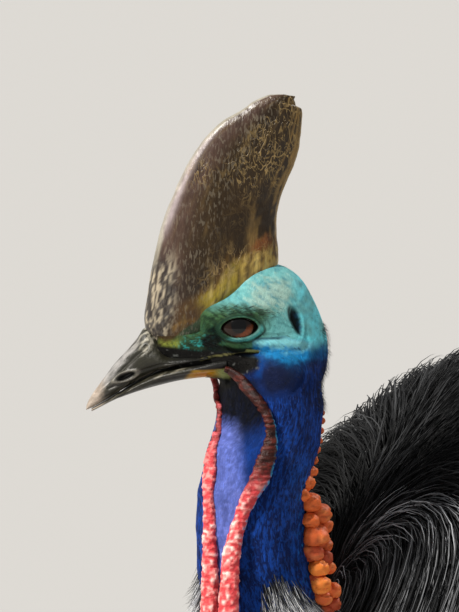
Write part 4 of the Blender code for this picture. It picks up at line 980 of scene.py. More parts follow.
    def _paint_below(
        self, paint: Paint, u: Array, v: Array, w: Array, coarse: Array, fine: Array, hairs: Array, sided: Array
    ) -> None:
        """Lays the cheek, the jaw, the throat and the neck."""
        border = v + 14 + 0.30 * (u + 50) + 4.0 * coarse + 2.0 * hairs
        paint.lay(linear(0.05, 0.34, 0.56), smoothstep(5, -8, border) * smoothstep(-36, -48, u))
        lower = smoothstep(-14, -24, v + 2.5 * coarse + 1.5 * hairs + 0.1 * np.abs(u + 20))
        paint.lay(linear(0.03, 0.145, 0.37), lower)
        deep = smoothstep(-42, -62, v)
        paint.lay(linear(0.05, 0.21, 0.50), deep)
        self._paint_cheek(paint, u, v, coarse, fine, hairs, sided)
        jaw = smoothstep(-17.5, -21, v - 0.10 * u) * smoothstep(-17, -11.5, u + fine)
        jaw = jaw * smoothstep(-46, -38, v + 0.6 * (u - 8) * (u < 8))
        paint.lay(linear(0.06, 0.055, 0.05), sided * jaw)
        paint.lay(linear(0.38, 0.39, 0.38), sided * jaw * 0.7 * smoothstep(0.34, 0.5, fine))
        mandible_patch(paint, u, v)
        seam = smoothstep(6, 0, np.abs(v + 41)) * smoothstep(0, 8, u) * smoothstep(-37.6, -38.4, v)
        paint.lay(linear(0.04, 0.04, 0.04), sided * seam)
        line, _ = line_distance(u, v, ((30, -23.6), (18, -20.6), (2, -18.4), (-13, -16.2)))
        paint.lay(linear(0.62, 0.60, 0.38), sided * 0.8 * smoothstep(0.9, 0.3, line + 0.5 * fine))
        gape = np.hypot((u + 9) / 5.5, (v + 16.6) / 1.6)
        paint.lay(linear(0.66, 0.70, 0.44), sided * 0.85 * smoothstep(1.2, 0.7, gape + 0.4 * fine))
        mouth, _ = line_distance(u, v, ((26, -23.5), (18, -21.3), (2, -19.2), (-13, -17.6)))
        paint.lay(linear(0.02, 0.02, 0.02), sided * smoothstep(0.8, 0.35, mouth))
        self._paint_neck(paint, u, v, w, coarse, fine)

    @staticmethod
    def _paint_cheek(paint: Paint, u: Array, v: Array, coarse: Array, fine: Array, hairs: Array, sided: Array) -> None:
        """Lays the light cyan wedge behind the gape, the blue edge under it and the purplish cheek, with painted shade
        in the groove under the cheek.
        """
        top = np.interp(u, (-50, -33, -7), (-10, -7, -8))
        bottom = np.interp(u, (-52, -35, -18, -9), (-23, -27, -18.5, -15))
        rough = 1.4 * fine + 1.2 * coarse
        middle = hump(v - bottom + 4.0 * coarse + 2.0 * hairs, -1.0, 6.0) * smoothstep(-10, -14, u) * smoothstep(-56, -44, u)
        paint.lay(linear(0.07, 0.27, 0.47), sided * 0.9 * middle)
        inside = smoothstep(top + 2.5, top - 0.5, v + rough) * smoothstep(bottom - 3.0, bottom + 4.0, v + 1.6 * rough)
        inside = inside * smoothstep(-8, -11, u) * smoothstep(-58, -48, u)
        paint.lay(linear(0.10, 0.50, 0.74), sided * inside)
        high = smoothstep(0.62, 0.12, (top - v) / np.maximum(top - bottom, 3.0) + 0.25 * fine)
        paint.lay(linear(0.55, 0.86, 0.88), sided * 0.9 * inside * high)
        paint.lay(linear(0.12, 0.36, 0.44), sided * 0.5 * inside * smoothstep(0.1, 0.6, hairs))
        over = hump(v - top + 0.5 * fine, 1.2, 1.0) * smoothstep(-8, -12, u) * smoothstep(-38, -28, u)
        paint.lay(linear(0.02, 0.10, 0.16), sided * 0.8 * over)
        cheek = np.hypot((u + 28) / 15, (v + 36) / 11)
        soft = smoothstep(1.25, 0.5, cheek + 0.25 * coarse)
        paint.lay(linear(0.07, 0.10, 0.215), sided * 0.88 * soft)
        # Painted shade in the groove under the cheek's bulge.
        paint.lay(linear(0.02, 0.04, 0.10), sided * 0.25 * hump(cheek, 1.22, 0.12) * smoothstep(-30, -40, v))
        front, _ = line_distance(u, v, ((-13, -18), (-16, -24), (-15, -29), (-13.5, -33)))
        paint.lay(linear(0.04, 0.30, 0.62), sided * 0.4 * smoothstep(4.5, 0.5, front + 2.5 * fine + 2.0 * hairs))

    @staticmethod
    def strip(u: Array, v: Array) -> Array:
        """1 between the two wattles, 0 beside and above them."""
        near = np.interp(-v, (60, 92, 106, 122, 138, 154, 170, 260), (-17, -21, -17, -9, -2, 4, 8, 12))
        far = np.interp(-v, (60, 94, 124, 156, 260), (16, 21.5, 25, 25.5, 26))
        return smoothstep(near - 2, near + 4, u) * smoothstep(far + 4, far - 2, u) * smoothstep(-62, -78, v)

    @staticmethod
    def _paint_neck(paint: Paint, u: Array, v: Array, w: Array, coarse: Array, fine: Array) -> None:
        """Lays a painted shadow over the throat, painted light on the violet strip between the wattles, and the
        brighter hind neck.
        """
        # A painted shadow under the jaw, over the throat on the near side.
        shadow = smoothstep(-34, -40, v) * smoothstep(-92, -66, v + 0.5 * (u + 5)) * smoothstep(-18, -8, u - 0.35 * (v + 45))
        paint.lay(linear(0.01, 0.012, 0.02), 0.97 * shadow * smoothstep(0, 6, w + 8))
        between = HeadSkin.strip(u, v)
        # Painted light on the strip between the wattles, up to the edge of the shade beside it.
        lit = smoothstep(-12, 4, w) * smoothstep(-10, 4, u - 0.12 * (v + 120))
        paint.lay(linear(0.40, 0.46, 0.78), 0.88 * between * lit)
        paint.lay(linear(0.55, 0.60, 0.88), 0.25 * between * smoothstep(0.0, 0.5, fine) * lit)
        paint.lay(linear(0.06, 0.24, 0.52), 0.6 * smoothstep(-86, -110, v) * smoothstep(-28, -44, u + 3 * coarse))
        paint.lay(linear(0.12, 0.52, 0.78), 0.45 * smoothstep(0.30, 0.5, fine) * smoothstep(-100, -120, v) * smoothstep(-36, -46, u))

    def build(self) -> bpy.types.Object:
        """Makes the skin, with its relief moved along the normals."""
        grid, _ = self.solved()
        normals = grid_normals(grid)
        height = self.relief(grid)
        colours = self.paint(grid)
        v = grid[..., 2] / MM
        u, w = -grid[..., 1] / MM, grid[..., 0] / MM
        cheek = smoothstep(1.5, 0.9, np.hypot((u + 28) / 17, (v + 36) / 13))
        even = np.maximum(0.75 * self.strip(u, v), 0.9 * cheek)
        masks = {
            "pleat": smoothstep(-14, -44, v + 0.35 * (u + 40)) * (1 - even),
            "wet": smoothstep(0.12, -0.05, self.opening.edge(u, v)),
        }
        lateral = smoothstep(0.6, 0.2, self.opening.edge(u, v)) * smoothstep(10, 15, np.abs(w))
        sideways = np.sign(w)[..., None] * np.array((1.0, 0, 0))
        way = normals * (1 - lateral[..., None]) + sideways * lateral[..., None]
        moved = grid + way * height[..., None]
        steps = np.linalg.norm(np.diff(grid.mean(1), axis=0), axis=1)
        along = np.concatenate([[0], np.cumsum(steps)]) / 0.30
        turns = self.turns()
        around = np.minimum(turns, 2 * math.pi - turns) / math.pi
        made = lofted(self.stance.head(moved), colours, masks)
        self.uv = np.stack(np.meshgrid(along, around, indexing="ij")[::-1], -1)
        made.uv[: self.uv[..., 0].size] = self.uv.reshape(-1, 2)
        self.grid, self.normals = moved, normals
        LOG.info("head and neck skin: %d faces", len(made.faces))
        return made.piece("skin_head_neck")


# Casque, bill and eyes


@dataclass
class Casque:
    """The horn casque, a tall blade that is broad at its foot and broken at its top.

    Args:
        stance: where the head lies.
        stations: (front forward, front up, rear forward, rear up, half thickness), in millimetres.
        rings: sections up the casque.
        sides: points round a section.
    """

    stance: Stance
    stations: tuple[tuple[float, ...], ...] = (
        (54, -26, -4, 17, 9),
        (61.5, -16.5, -12, 33, 15),
        (71.5, 1, -27, 44, 18.5),
        (69, 26.5, -28.5, 56.5, 18.5),
        (65, 49.5, -27.5, 68.5, 17),
        (58.5, 76.5, -27.5, 82.5, 15),
        (51, 96.5, -30, 95.5, 13),
        (41, 118.5, -34.5, 108.5, 11.5),
        (29, 137.5, -40, 120.5, 10),
        (15, 152.5, -44, 133.5, 8.6),
        (0, 161.5, -45.5, 146.5, 7.4),
        (-9, 168, -46.5, 155.5, 6.4),
        (-15, 171, -46.6, 160.5, 5.8),
        (-19, 172.5, -45.8, 163.5, 5.2),
        (-22, 173.3, -41.8, 165.5, 4.6),
        (-26, 173.7, -41.2, 169.5, 3.6),
        (-31, 173.9, -41, 172.5, 2.2),
    )
    rings: int = 210
    sides: int = 120

    def build(self) -> bpy.types.Object:
        """Ellipses from the front edge to the rear edge, with flutes and pits along the horn."""
        fine = smooth_path(np.array(self.stations) * MM, self.rings)
        front, rear = in_head(fine[:, 0], fine[:, 1], 0), in_head(fine[:, 2], fine[:, 3], 0)
        turn = np.linspace(0, 2 * math.pi, self.sides, endpoint=False)
        across, deep = np.cos(turn), np.sign(np.sin(turn)) * np.abs(np.sin(turn)) ** 0.85
        grid = (front + rear)[:, None] / 2 + across[None, :, None] * (front - rear)[:, None] / 2
        grid = grid + (deep[None] * fine[:, 4:5])[..., None] * np.array((1.0, 0, 0))
        up = np.linspace(0, 1, self.rings)[:, None] + np.zeros_like(across)
        ahead = (across + 1) / 2 + np.zeros_like(up)
        spots = np.stack([ahead * 90, up * 40, deep + np.zeros_like(up)], -1)
        flutes = layered_noise(spots, 7.0, 31)
        pits = layered_noise(grid / MM, 5.0, 33)
        edge = smoothstep(0.72, 0.98, up) * smoothstep(0.35, 0.0, ahead)
        height = 0.35 * flutes + 0.30 * pits + edge * 0.9 * layered_noise(grid / MM, 3.4, 35)
        moved = grid + grid_normals(grid) * (height * smoothstep(0.0, 0.04, up))[..., None] * MM
        masks = {"net": self._net(grid, ahead), "fleck": self._fleck(grid, ahead)}
        made = lofted(self.stance.head(moved), self._paint(grid, up, ahead), masks)
        LOG.info("casque: %d faces", len(made.faces))
        return made.piece("casque_horn")

    @staticmethod
    def _net(grid: Array, ahead: Array) -> Array:
        """Where the horn has its net of scratches: high behind, in one patch on the front and along the foot."""
        u, v = -grid[..., 1] / MM, grid[..., 2] / MM
        patches = layered_noise(grid / MM, 18.0, 37)
        high = smoothstep(92, 128, v + 14 * patches) * smoothstep(0.75, 0.45, ahead)
        spot = np.exp(-(((u - 30) / 9) ** 2) - ((v - 116) / 11) ** 2)
        base, _ = line_distance(u, v, ((-30, 50), (-6, 41), (11, 27), (28, 11), (36, -2)))
        low = hump(base, 13, 8) * smoothstep(36, 20, u)
        return np.clip(high + 0.9 * spot + 0.7 * low + 0.25 * patches, 0, 1)

    @staticmethod
    def _fleck(grid: Array, ahead: Array) -> Array:
        """Where the horn has fine upright grey flecks: over the middle and the front."""
        patches = layered_noise(grid / MM, 14.0, 38)
        return np.clip(0.55 + 0.7 * patches, 0, 1) * smoothstep(0.35, 0.65, ahead) * smoothstep(0.98, 0.88, ahead)

    @staticmethod
    def _paint(grid: Array, up: Array, ahead: Array) -> Array:
        """Yellowish brown horn, ochre behind and below, pinkish grey in front and flaky on the foot; the front and its
        pale edge are partly painted highlight, and a band along the front of the flank is painted highlight.
        """
        u, v, w = -grid[..., 1] / MM, grid[..., 2] / MM, grid[..., 0] / MM
        streaks = layered_noise(np.stack([ahead * 90, up * 26, w], -1), 3.6, 41)
        fibres = layered_noise(np.stack([ahead * 90, up * 9, w * 0.5], -1), 2.2, 45)
        patches = layered_noise(grid / MM, 16.0, 43)
        small = layered_noise(grid / MM, 5.0, 47)
        paint = Paint.plain(u.shape, linear(0.165, 0.115, 0.045))
        # Pinkish grey over the front, partly its colour and partly a painted highlight.
        paint.lay(linear(0.33, 0.25, 0.22), 0.75 * smoothstep(0.60, 0.9, ahead + 0.08 * patches))
        paint.lay(linear(0.11, 0.075, 0.045), 0.7 * smoothstep(0.0, 0.7, patches))
        paint.lay(linear(0.34, 0.27, 0.16), 0.6 * smoothstep(0.1, 0.6, fibres))
        # A pale front edge, partly wear and partly a painted highlight.
        front_edge = smoothstep(0.945, 0.995, ahead + 0.02 * small + 0.01 * streaks)
        paint.lay(linear(0.68, 0.66, 0.60), 0.8 * front_edge)
        # A painted highlight in a band along the front of the flank.
        flank = hump(ahead, 0.955 + 0.01 * small, 0.035) * smoothstep(60, 85, v) * smoothstep(150, 135, v)
        paint.lay(linear(0.74, 0.69, 0.70), 0.55 * flank * smoothstep(-0.7, 0.2, streaks))
        rear = smoothstep(0.30, 0.03, ahead + 0.10 * small + 0.08 * patches)
        paint.lay(linear(0.52, 0.41, 0.22), 0.85 * rear * smoothstep(0.0, 0.35, fibres + 0.3 * small))
        paint.lay(linear(0.13, 0.09, 0.05), 0.5 * rear * smoothstep(-0.05, -0.4, fibres))
        paint.lay(linear(0.66, 0.54, 0.32), 0.75 * smoothstep(0.025, 0.0, ahead + 0.01 * small) * smoothstep(0.10, 0.2, up))
        red = np.exp(-(((u + 21) / 12) ** 2) - ((v - 57) / 12) ** 2)
        paint.lay(linear(0.46, 0.26, 0.12), 0.8 * smoothstep(0.2, 0.75, red + 0.3 * small + 0.2 * fibres))
        base, _ = line_distance(u, v, ((-30, 50), (-6, 41), (11, 27), (28, 11), (36, -2), (52, -12), (60, -20)))
        rise = base + 5.0 * patches + 5.0 * small + 5.0 * fibres
        side = smoothstep(0.95, 0.86, ahead)
        behind = smoothstep(8, -6, u)
        paint.lay(linear(0.33, 0.235, 0.075), 0.9 * side * smoothstep(20, 9, rise))
        paint.lay(linear(0.70, 0.59, 0.30), 0.9 * side * behind * smoothstep(16, 9, rise) * smoothstep(-0.6, 0.1, fibres + small))
        paint.lay(linear(0.60, 0.53, 0.15), 0.85 * side * (1 - behind) * smoothstep(13, 5, rise) * smoothstep(36, 24, u))
        paint.lay(linear(0.12, 0.08, 0.035), 0.6 * side * smoothstep(0.15, 0.5, small) * smoothstep(20, 10, rise) * (1 - 0.6 * behind))
        strands = layered_noise(np.stack([ahead * 110, up * 30, w], -1), 1.5, 51)
        paint.lay(linear(0.20, 0.13, 0.06), 0.75 * side * smoothstep(0.05, 0.4, strands) * smoothstep(22, 12, rise))
        paint.lay(linear(0.74, 0.66, 0.40), 0.6 * side * smoothstep(-0.1, -0.45, strands) * smoothstep(17, 9, rise))
        warm = smoothstep(24, 12, v) * smoothstep(22, 32, u)
        paint.lay(linear(0.27, 0.18, 0.075), 0.85 * side * warm)
        paint.lay(linear(0.50, 0.37, 0.15), 0.55 * side * warm * smoothstep(0.15, 0.5, small))
        front = smoothstep(47, 57, u + 0.08 * v + 3 * patches)
        foot = smoothstep(64, 40, v + 8 * patches) * front
        paint.lay(linear(0.17, 0.155, 0.15), 0.9 * foot)
        flakes = layered_noise(np.stack([u * 1.5 + 0.26 * v, v * 0.21 - 0.05 * u, w * 0.8], -1), 1.6, 49)
        paint.lay(linear(0.68, 0.63, 0.54), 0.9 * foot * smoothstep(-0.02, 0.28, flakes + 0.35 * small))
        paint.lay(linear(0.35, 0.33, 0.31), 0.8 * foot * smoothstep(-0.15, 0.0, flakes) * smoothstep(0.1, -0.05, flakes))
        under = smoothstep(1.0, -1.5, above_foot(u, v) + 2.0 * small) * smoothstep(24, 30, u) * side
        paint.lay(linear(0.17, 0.27, 0.17), 0.9 * under)
        paint.lay(linear(0.30, 0.52, 0.42), 0.6 * under * smoothstep(0.1, 0.5, small) * smoothstep(50, 40, u))
        paint.lay(linear(0.50, 0.54, 0.22), 0.8 * under * smoothstep(44, 50, u))
        return paint.shade(1 + 0.20 * streaks + 0.12 * fibres).values


FOOT_LINE = ((18, 18), (23, 13), (31, 7), (41.5, -1), (52, -10.5), (58, -18.6))


def above_foot(u: Array, v: Array) -> Array:
    """How far places are above the line where the casque's foot meets the face, in millimetres."""
    line = np.array(FOOT_LINE)
    return v - np.interp(u, line[:, 0], line[:, 1])


def mandible_patch(paint: Paint, u: Array, v: Array) -> None:
    """Lays the orange-yellow patch at the root of the lower bill, which pales to green behind."""
    patch = smoothstep(40, 35, u + 0.8 * (v + 34)) * smoothstep(6.5, 9, u)
    patch = patch * smoothstep(-29.6, -31.2, v - 0.05 * (20 - u)) * smoothstep(-47, -41, v)
    paint.lay(linear(0.72, 0.55, 0.09), 0.95 * patch)
    paint.lay(linear(0.62, 0.66, 0.42), patch * smoothstep(22, 13, u))
    paint.lay(linear(0.80, 0.42, 0.06), 0.6 * patch * hump(u, 28, 8) * hump(v, -35.5, 3))


@dataclass
class Bill:
    """Upper and lower half of the bill, with grooves, nostrils and the cutting edges.

    Args:
        stance: where the head lies.
        culmen: (forward, up) along the upper edge, in millimetres.
        mouth: the line between the halves.
        gonys: the lower edge.
        half_width: (forward, half width).
    """

    stance: Stance
    culmen: tuple[tuple[float, float], ...] = (
        (10, -20), (30, -19.5), (48, -20), (56, -18), (62, -8), (68, -2), (72.5, -2.2), (76.8, -8.6),
        (83.6, -16.8), (94.6, -29.1), (102.8, -40.1), (109.7, -49.7), (113.6, -56), (116, -62),
    )
    mouth: tuple[tuple[float, float], ...] = (
        (-2, -19), (17, -21.5), (28, -24.5), (54, -31), (69, -37.5), (83, -45), (96, -53),
        (108, -60.2), (116, -64),
    )
    gonys: tuple[tuple[float, float], ...] = (
        (-2, -26), (10, -36), (34, -39.2), (48, -41.5), (67, -46.3), (85, -51.8), (96, -56.5),
        (105, -61.2), (110, -63.8), (113, -65),
    )
    half_width: tuple[tuple[float, float], ...] = (
        (-2, 19), (20, 21.5), (45, 19.5), (60, 17.2), (75, 13.5), (90, 10.3), (103, 7), (112, 4), (116, 2),
    )
    rings: int = 170
    sides: int = 110

    @staticmethod
    def profile(line: tuple[tuple[float, float], ...], forward: Array) -> Array:
        """Reads a line smoothly at places forward, all in millimetres."""
        fine = smooth_path(np.array(line, float), 240)
        return np.interp(forward, fine[:, 0], fine[:, 1])

    def half_grid(self, top: Array, bottom: Array, forward: Array, narrow: float) -> Array:
        """Sections across the bill between two lines: narrower towards the ridge than at the mouth."""
        turn = np.linspace(0, 2 * math.pi, self.sides, endpoint=False)
        half = np.maximum((top - bottom) / 2, 0.6)[:, None]
        tall, wide = np.sin(turn)[None], self.profile(self.half_width, forward)[:, None]
        across = np.cos(turn)[None] * wide * (1 - 0.38 * tall * narrow)
        return in_head(forward[:, None], (top + bottom)[:, None] / 2 + half * tall, across) * MM

    def relief(self, u: Array, v: Array, upper: bool) -> Array:
        """Grooves under the ridge, the nostril's slit and rim, and the swelling behind it, in millimetres."""
        if not upper:
            line, _ = line_distance(u, v, ((14, -33), (44, -35.5), (66, -40), (90, -50)))
            return 0.5 * hump(line, 0, 1.0) * -1 + 0.35 * hump(line, 2.6, 1.3)
        first, along = line_distance(u, v, ((109, -50.5), (97, -39.5), (84, -27.5), (70, -15)))
        second, _ = line_distance(u, v, ((99, -46.5), (90, -42.5), (79, -41)))
        third, _ = line_distance(u, v, ((76, -33), (60, -27.5), (44, -25), (28, -21)))
        nostril = self.nostril(u, v)
        height = -1.5 * hump(first, 0, 1.1) + 0.7 * hump(first, 2.8, 1.5) - 1.0 * hump(second, 0, 1.0)
        height -= 1.1 * hump(third, 0, 1.0)
        height += 1.3 * np.exp(-(((u - 72) / 9) ** 2) - ((v + 23) / 6) ** 2)
        height += 1.2 * hump(nostril, 0.38, 0.30) - 3.6 * smoothstep(0.05, -0.4, nostril)
        return height

    @staticmethod
    def nostril(u: Array, v: Array) -> Array:
        """0 on the nostril's edge and below 0 in it: a long ellipse that rises towards the eye."""
        c, s = math.cos(math.radians(22)), math.sin(math.radians(22))
        du, dv = u - 85.6, v + 36.9
        return np.hypot((du * c - dv * s) / 7.2, (du * s + dv * c) / 2.3) - 1

    def paint(self, u: Array, v: Array, w: Array, upper: bool) -> Array:
        """Grey-brown horn with pale wear on the tip, a pale ridge that is partly wear and partly painted highlight,
        painted shade in the nostril, and yellow at the lower half's root.
        """
        streaks = layered_noise(np.stack([(u * 0.77 - v * 0.64) * 0.25, u * 0.64 + v * 0.77, w], -1), 2.2, 51)
        fine = layered_noise(np.stack([u, v, w], -1), 1.8, 53)
        paint = Paint.plain(u.shape, linear(0.145, 0.14, 0.095))
        paint.lay(linear(0.08, 0.075, 0.065), 0.8 * smoothstep(0.1, 0.6, streaks))
        if upper:
            ridge = self.profile(self.culmen, u) - v
            # A pale band along the ridge, partly wear and partly a painted highlight.
            band = smoothstep(9.5, 6.5, ridge) * smoothstep(70, 82, u)
            paint.lay(linear(0.62, 0.61, 0.60), 0.85 * band * smoothstep(-0.6, 0.4, streaks))
            second = hump(ridge, 15, 3.5) * smoothstep(72, 84, u)
            paint.lay(linear(0.36, 0.35, 0.34), 0.7 * second * smoothstep(-0.5, 0.4, streaks))
            paint.lay(linear(0.68, 0.62, 0.56), 0.85 * smoothstep(99, 108, u + 2 * fine))
            flaky = hump(u, 70, 7) * smoothstep(-26, -12, v)
            paint.lay(linear(0.66, 0.64, 0.58), 0.85 * smoothstep(0.0, 0.3, streaks) * flaky)
            cutting = hump(v - self.profile(self.mouth, u), 1.8, 1.1) * smoothstep(36, 50, u)
            paint.lay(linear(0.60, 0.57, 0.52), 0.7 * cutting * smoothstep(-0.3, 0.4, streaks))
            rim = hump(self.nostril(u, v), 0.42, 0.26)
            paint.lay(linear(0.50, 0.48, 0.44), 0.75 * rim)
            # The nostril's sunken hole is painted near black as painted shade.
            paint.lay(linear(0.015, 0.015, 0.015), smoothstep(0.12, -0.15, self.nostril(u, v)))
            paint.lay(linear(0.05, 0.055, 0.05), 0.8 * smoothstep(60, 44, u))
        else:
            below = v - self.profile(self.mouth, u)
            pale = hump(below, -2.4, 1.5) * smoothstep(-0.2, 0.4, streaks) * smoothstep(34, 46, u)
            paint.lay(linear(0.50, 0.48, 0.42), 0.75 * pale)
            paint.lay(linear(0.60, 0.56, 0.50), 0.8 * smoothstep(99, 107, u + 2 * fine))
            paint.lay(linear(0.045, 0.045, 0.04), 0.9 * smoothstep(42, 30, u))
            mandible_patch(paint, u, v)
        return paint.shade(1 + 0.25 * streaks).values

    def half(self, upper: bool) -> bpy.types.Object:
        """Makes one half of the bill."""
        gap = 0.25
        if upper:
            forward = np.linspace(24, 115.5, self.rings)
            grid = self.half_grid(self.profile(self.culmen, forward), self.profile(self.mouth, forward) + gap, forward, 1)
        else:
            forward = np.linspace(10, 111.5, self.rings)
            grid = self.half_grid(self.profile(self.mouth, forward) - gap, self.profile(self.gonys, forward), forward, -1)
        u, v, w = -grid[..., 1] / MM, grid[..., 2] / MM, grid[..., 0] / MM
        sided = smoothstep(0.5, 3.0, np.abs(w))
        moved = grid + grid_normals(grid) * (self.relief(u, v, upper) * sided)[..., None] * MM
        made = lofted(self.stance.head(moved), self.paint(u, v, w, upper))
        return made.piece("bill_horn_upper" if upper else "bill_horn_lower")


@dataclass
class Eye:
    """One eyeball with a clear bulge over the iris.

    Args:
        stance: where the head lies.
        side: left or right.
        centre: how far its middle is from the middle of the head.
        half: half sizes (side, forward, up).
    """

    stance: Stance
    side: Side
    centre: float = 0.0172
    half: tuple[float, float, float] = (0.0128, 0.0160, 0.0160)

    def build(self) -> bpy.types.Object:
        """Rings from the pole that looks out to the one inside."""
        polar = crowded(64, 0.02, math.pi - 0.02, (0.5,), 0.5, 1.5)[:, None]
        turn = np.linspace(0, 2 * math.pi, 72, endpoint=False)[None]
        ahead = self.half[1] * np.sin(polar) * np.cos(turn)
        above = self.half[2] * np.sin(polar) * np.sin(turn)
        out = self.half[0] * np.cos(polar) + 0.0007 * np.exp(-((np.hypot(ahead, above) / 0.0105) ** 4))
        grid = in_head(ahead, above, self.side.value * (self.centre + out))
        masks = {"ahead": ahead / MM, "above": above / MM}
        return lofted(self.stance.head(grid), None, masks).piece(f"eyeball_{self.side.word}")


# Wattles and caruncles


@dataclass
class Wattle:
    """One long hanging wattle, wrinkled across above and beaded below.

    Args:
        skin: the skin that it grows from.
        side: left or right.
        stations: (forward, up, side, half width, half thickness), in millimetres.
    """

    skin: HeadSkin
    side: Side
    stations: tuple[tuple[float, ...], ...]
    rings: int = 380
    sides: int = 56

    def build(self) -> bpy.types.Object:
        """Sections square to the wattle's path, which is pushed out until it clears the skin."""
        fine = smooth_path(np.array(self.stations, float) * MM, self.rings)
        path = np.stack([fine[:, 2], -fine[:, 0], fine[:, 1]], axis=1)
        depth = np.maximum(-path[:, 2], 0.03)
        outward = path - self.skin.neck_centre(depth)[0]
        outward[:, 2] = 0
        outward /= np.linalg.norm(outward, axis=1)[:, None]
        buried = np.maximum(fine[:, 4] * 0.45 - self.skin.distance(path, lids=False), 0)
        path = path + outward * buried[:, None]
        side_axis = np.cross(outward, (0, 0, 1.0))
        grid = carried_rings(path, fine[:, 3], fine[:, 4], self.sides, side_axis)
        v = grid[..., 2] / MM
        lower = smoothstep(-90, -150, v)
        spots = grid / MM
        wrinkles = layered_noise(spots * np.array((0.30, 0.30, 1.0)), 1.9, 61, 2)
        beads = layered_noise(spots, 3.0, 63)
        fat = smoothstep(-40, -70, v)
        height = (0.25 + 0.75 * fat) * ((1 - 0.6 * lower) * 1.25 * wrinkles + (0.35 + 0.9 * lower) * beads) * MM
        moved = grid + grid_normals(grid) * height[..., None]
        turn = np.linspace(0, 2 * math.pi, self.sides, endpoint=False)[None] + np.zeros_like(v)
        colours = self._paint(v, turn, wrinkles, beads, lower)
        return lofted(self.skin.stance.head(moved), colours).piece(f"wattle_skin_{self.side.word}")

    def _paint(self, v: Array, turn: Array, wrinkles: Array, beads: Array, lower: Array) -> Array:
        """Brown-red above, crimson pink with pale beads below, and a blue dotted rear edge; the near wattle is darker
        as painted shade, the wrinkles carry painted light and shade, and the beads' tops painted highlights.
        """
        near = self.side is Side.LEFT
        # The near wattle gets darker colours than the far one: painted shade on the side in shade.
        paint = Paint.plain(v.shape, linear(0.19, 0.075, 0.055) if near else linear(0.52, 0.20, 0.20))
        # Painted light on the wrinkles' ridges and painted shade in their troughs.
        paint.lay(linear(0.34, 0.14, 0.11) if near else linear(0.80, 0.40, 0.42), 0.8 * smoothstep(-0.1, 0.4, wrinkles))
        paint.lay(linear(0.10, 0.05, 0.05), 0.7 * smoothstep(-0.15, -0.5, wrinkles) * (1 - lower))
        start = 0 if near else 26
        paint.lay(linear(0.86, 0.28, 0.30), smoothstep(-96 + start, -140 + start, v + 14 * beads))
        bead = beads + 0.4 * wrinkles
        paint.lay(linear(0.97, 0.58, 0.56), 0.85 * smoothstep(-0.2, 0.25, bead) * smoothstep(-96 + start, -138 + start, v))
        # Painted highlights on the beads' tops.
        paint.lay(linear(1.0, 0.86, 0.82), 0.75 * smoothstep(0.20, 0.52, bead) * smoothstep(-104, -146, v))
        if near:
            facing = smoothstep(0.70, 0.95, -np.cos(turn)) * smoothstep(-166, -140, v) * smoothstep(-56, -66, v)
            paint.lay(linear(0.10, 0.55, 0.74), 0.9 * facing * smoothstep(-0.2, 0.3, beads + 0.5 * wrinkles))
        # Lighter on the wrinkles' ridges, darker in their troughs: painted light and shade.
        return paint.shade(1 + 0.35 * wrinkles).values


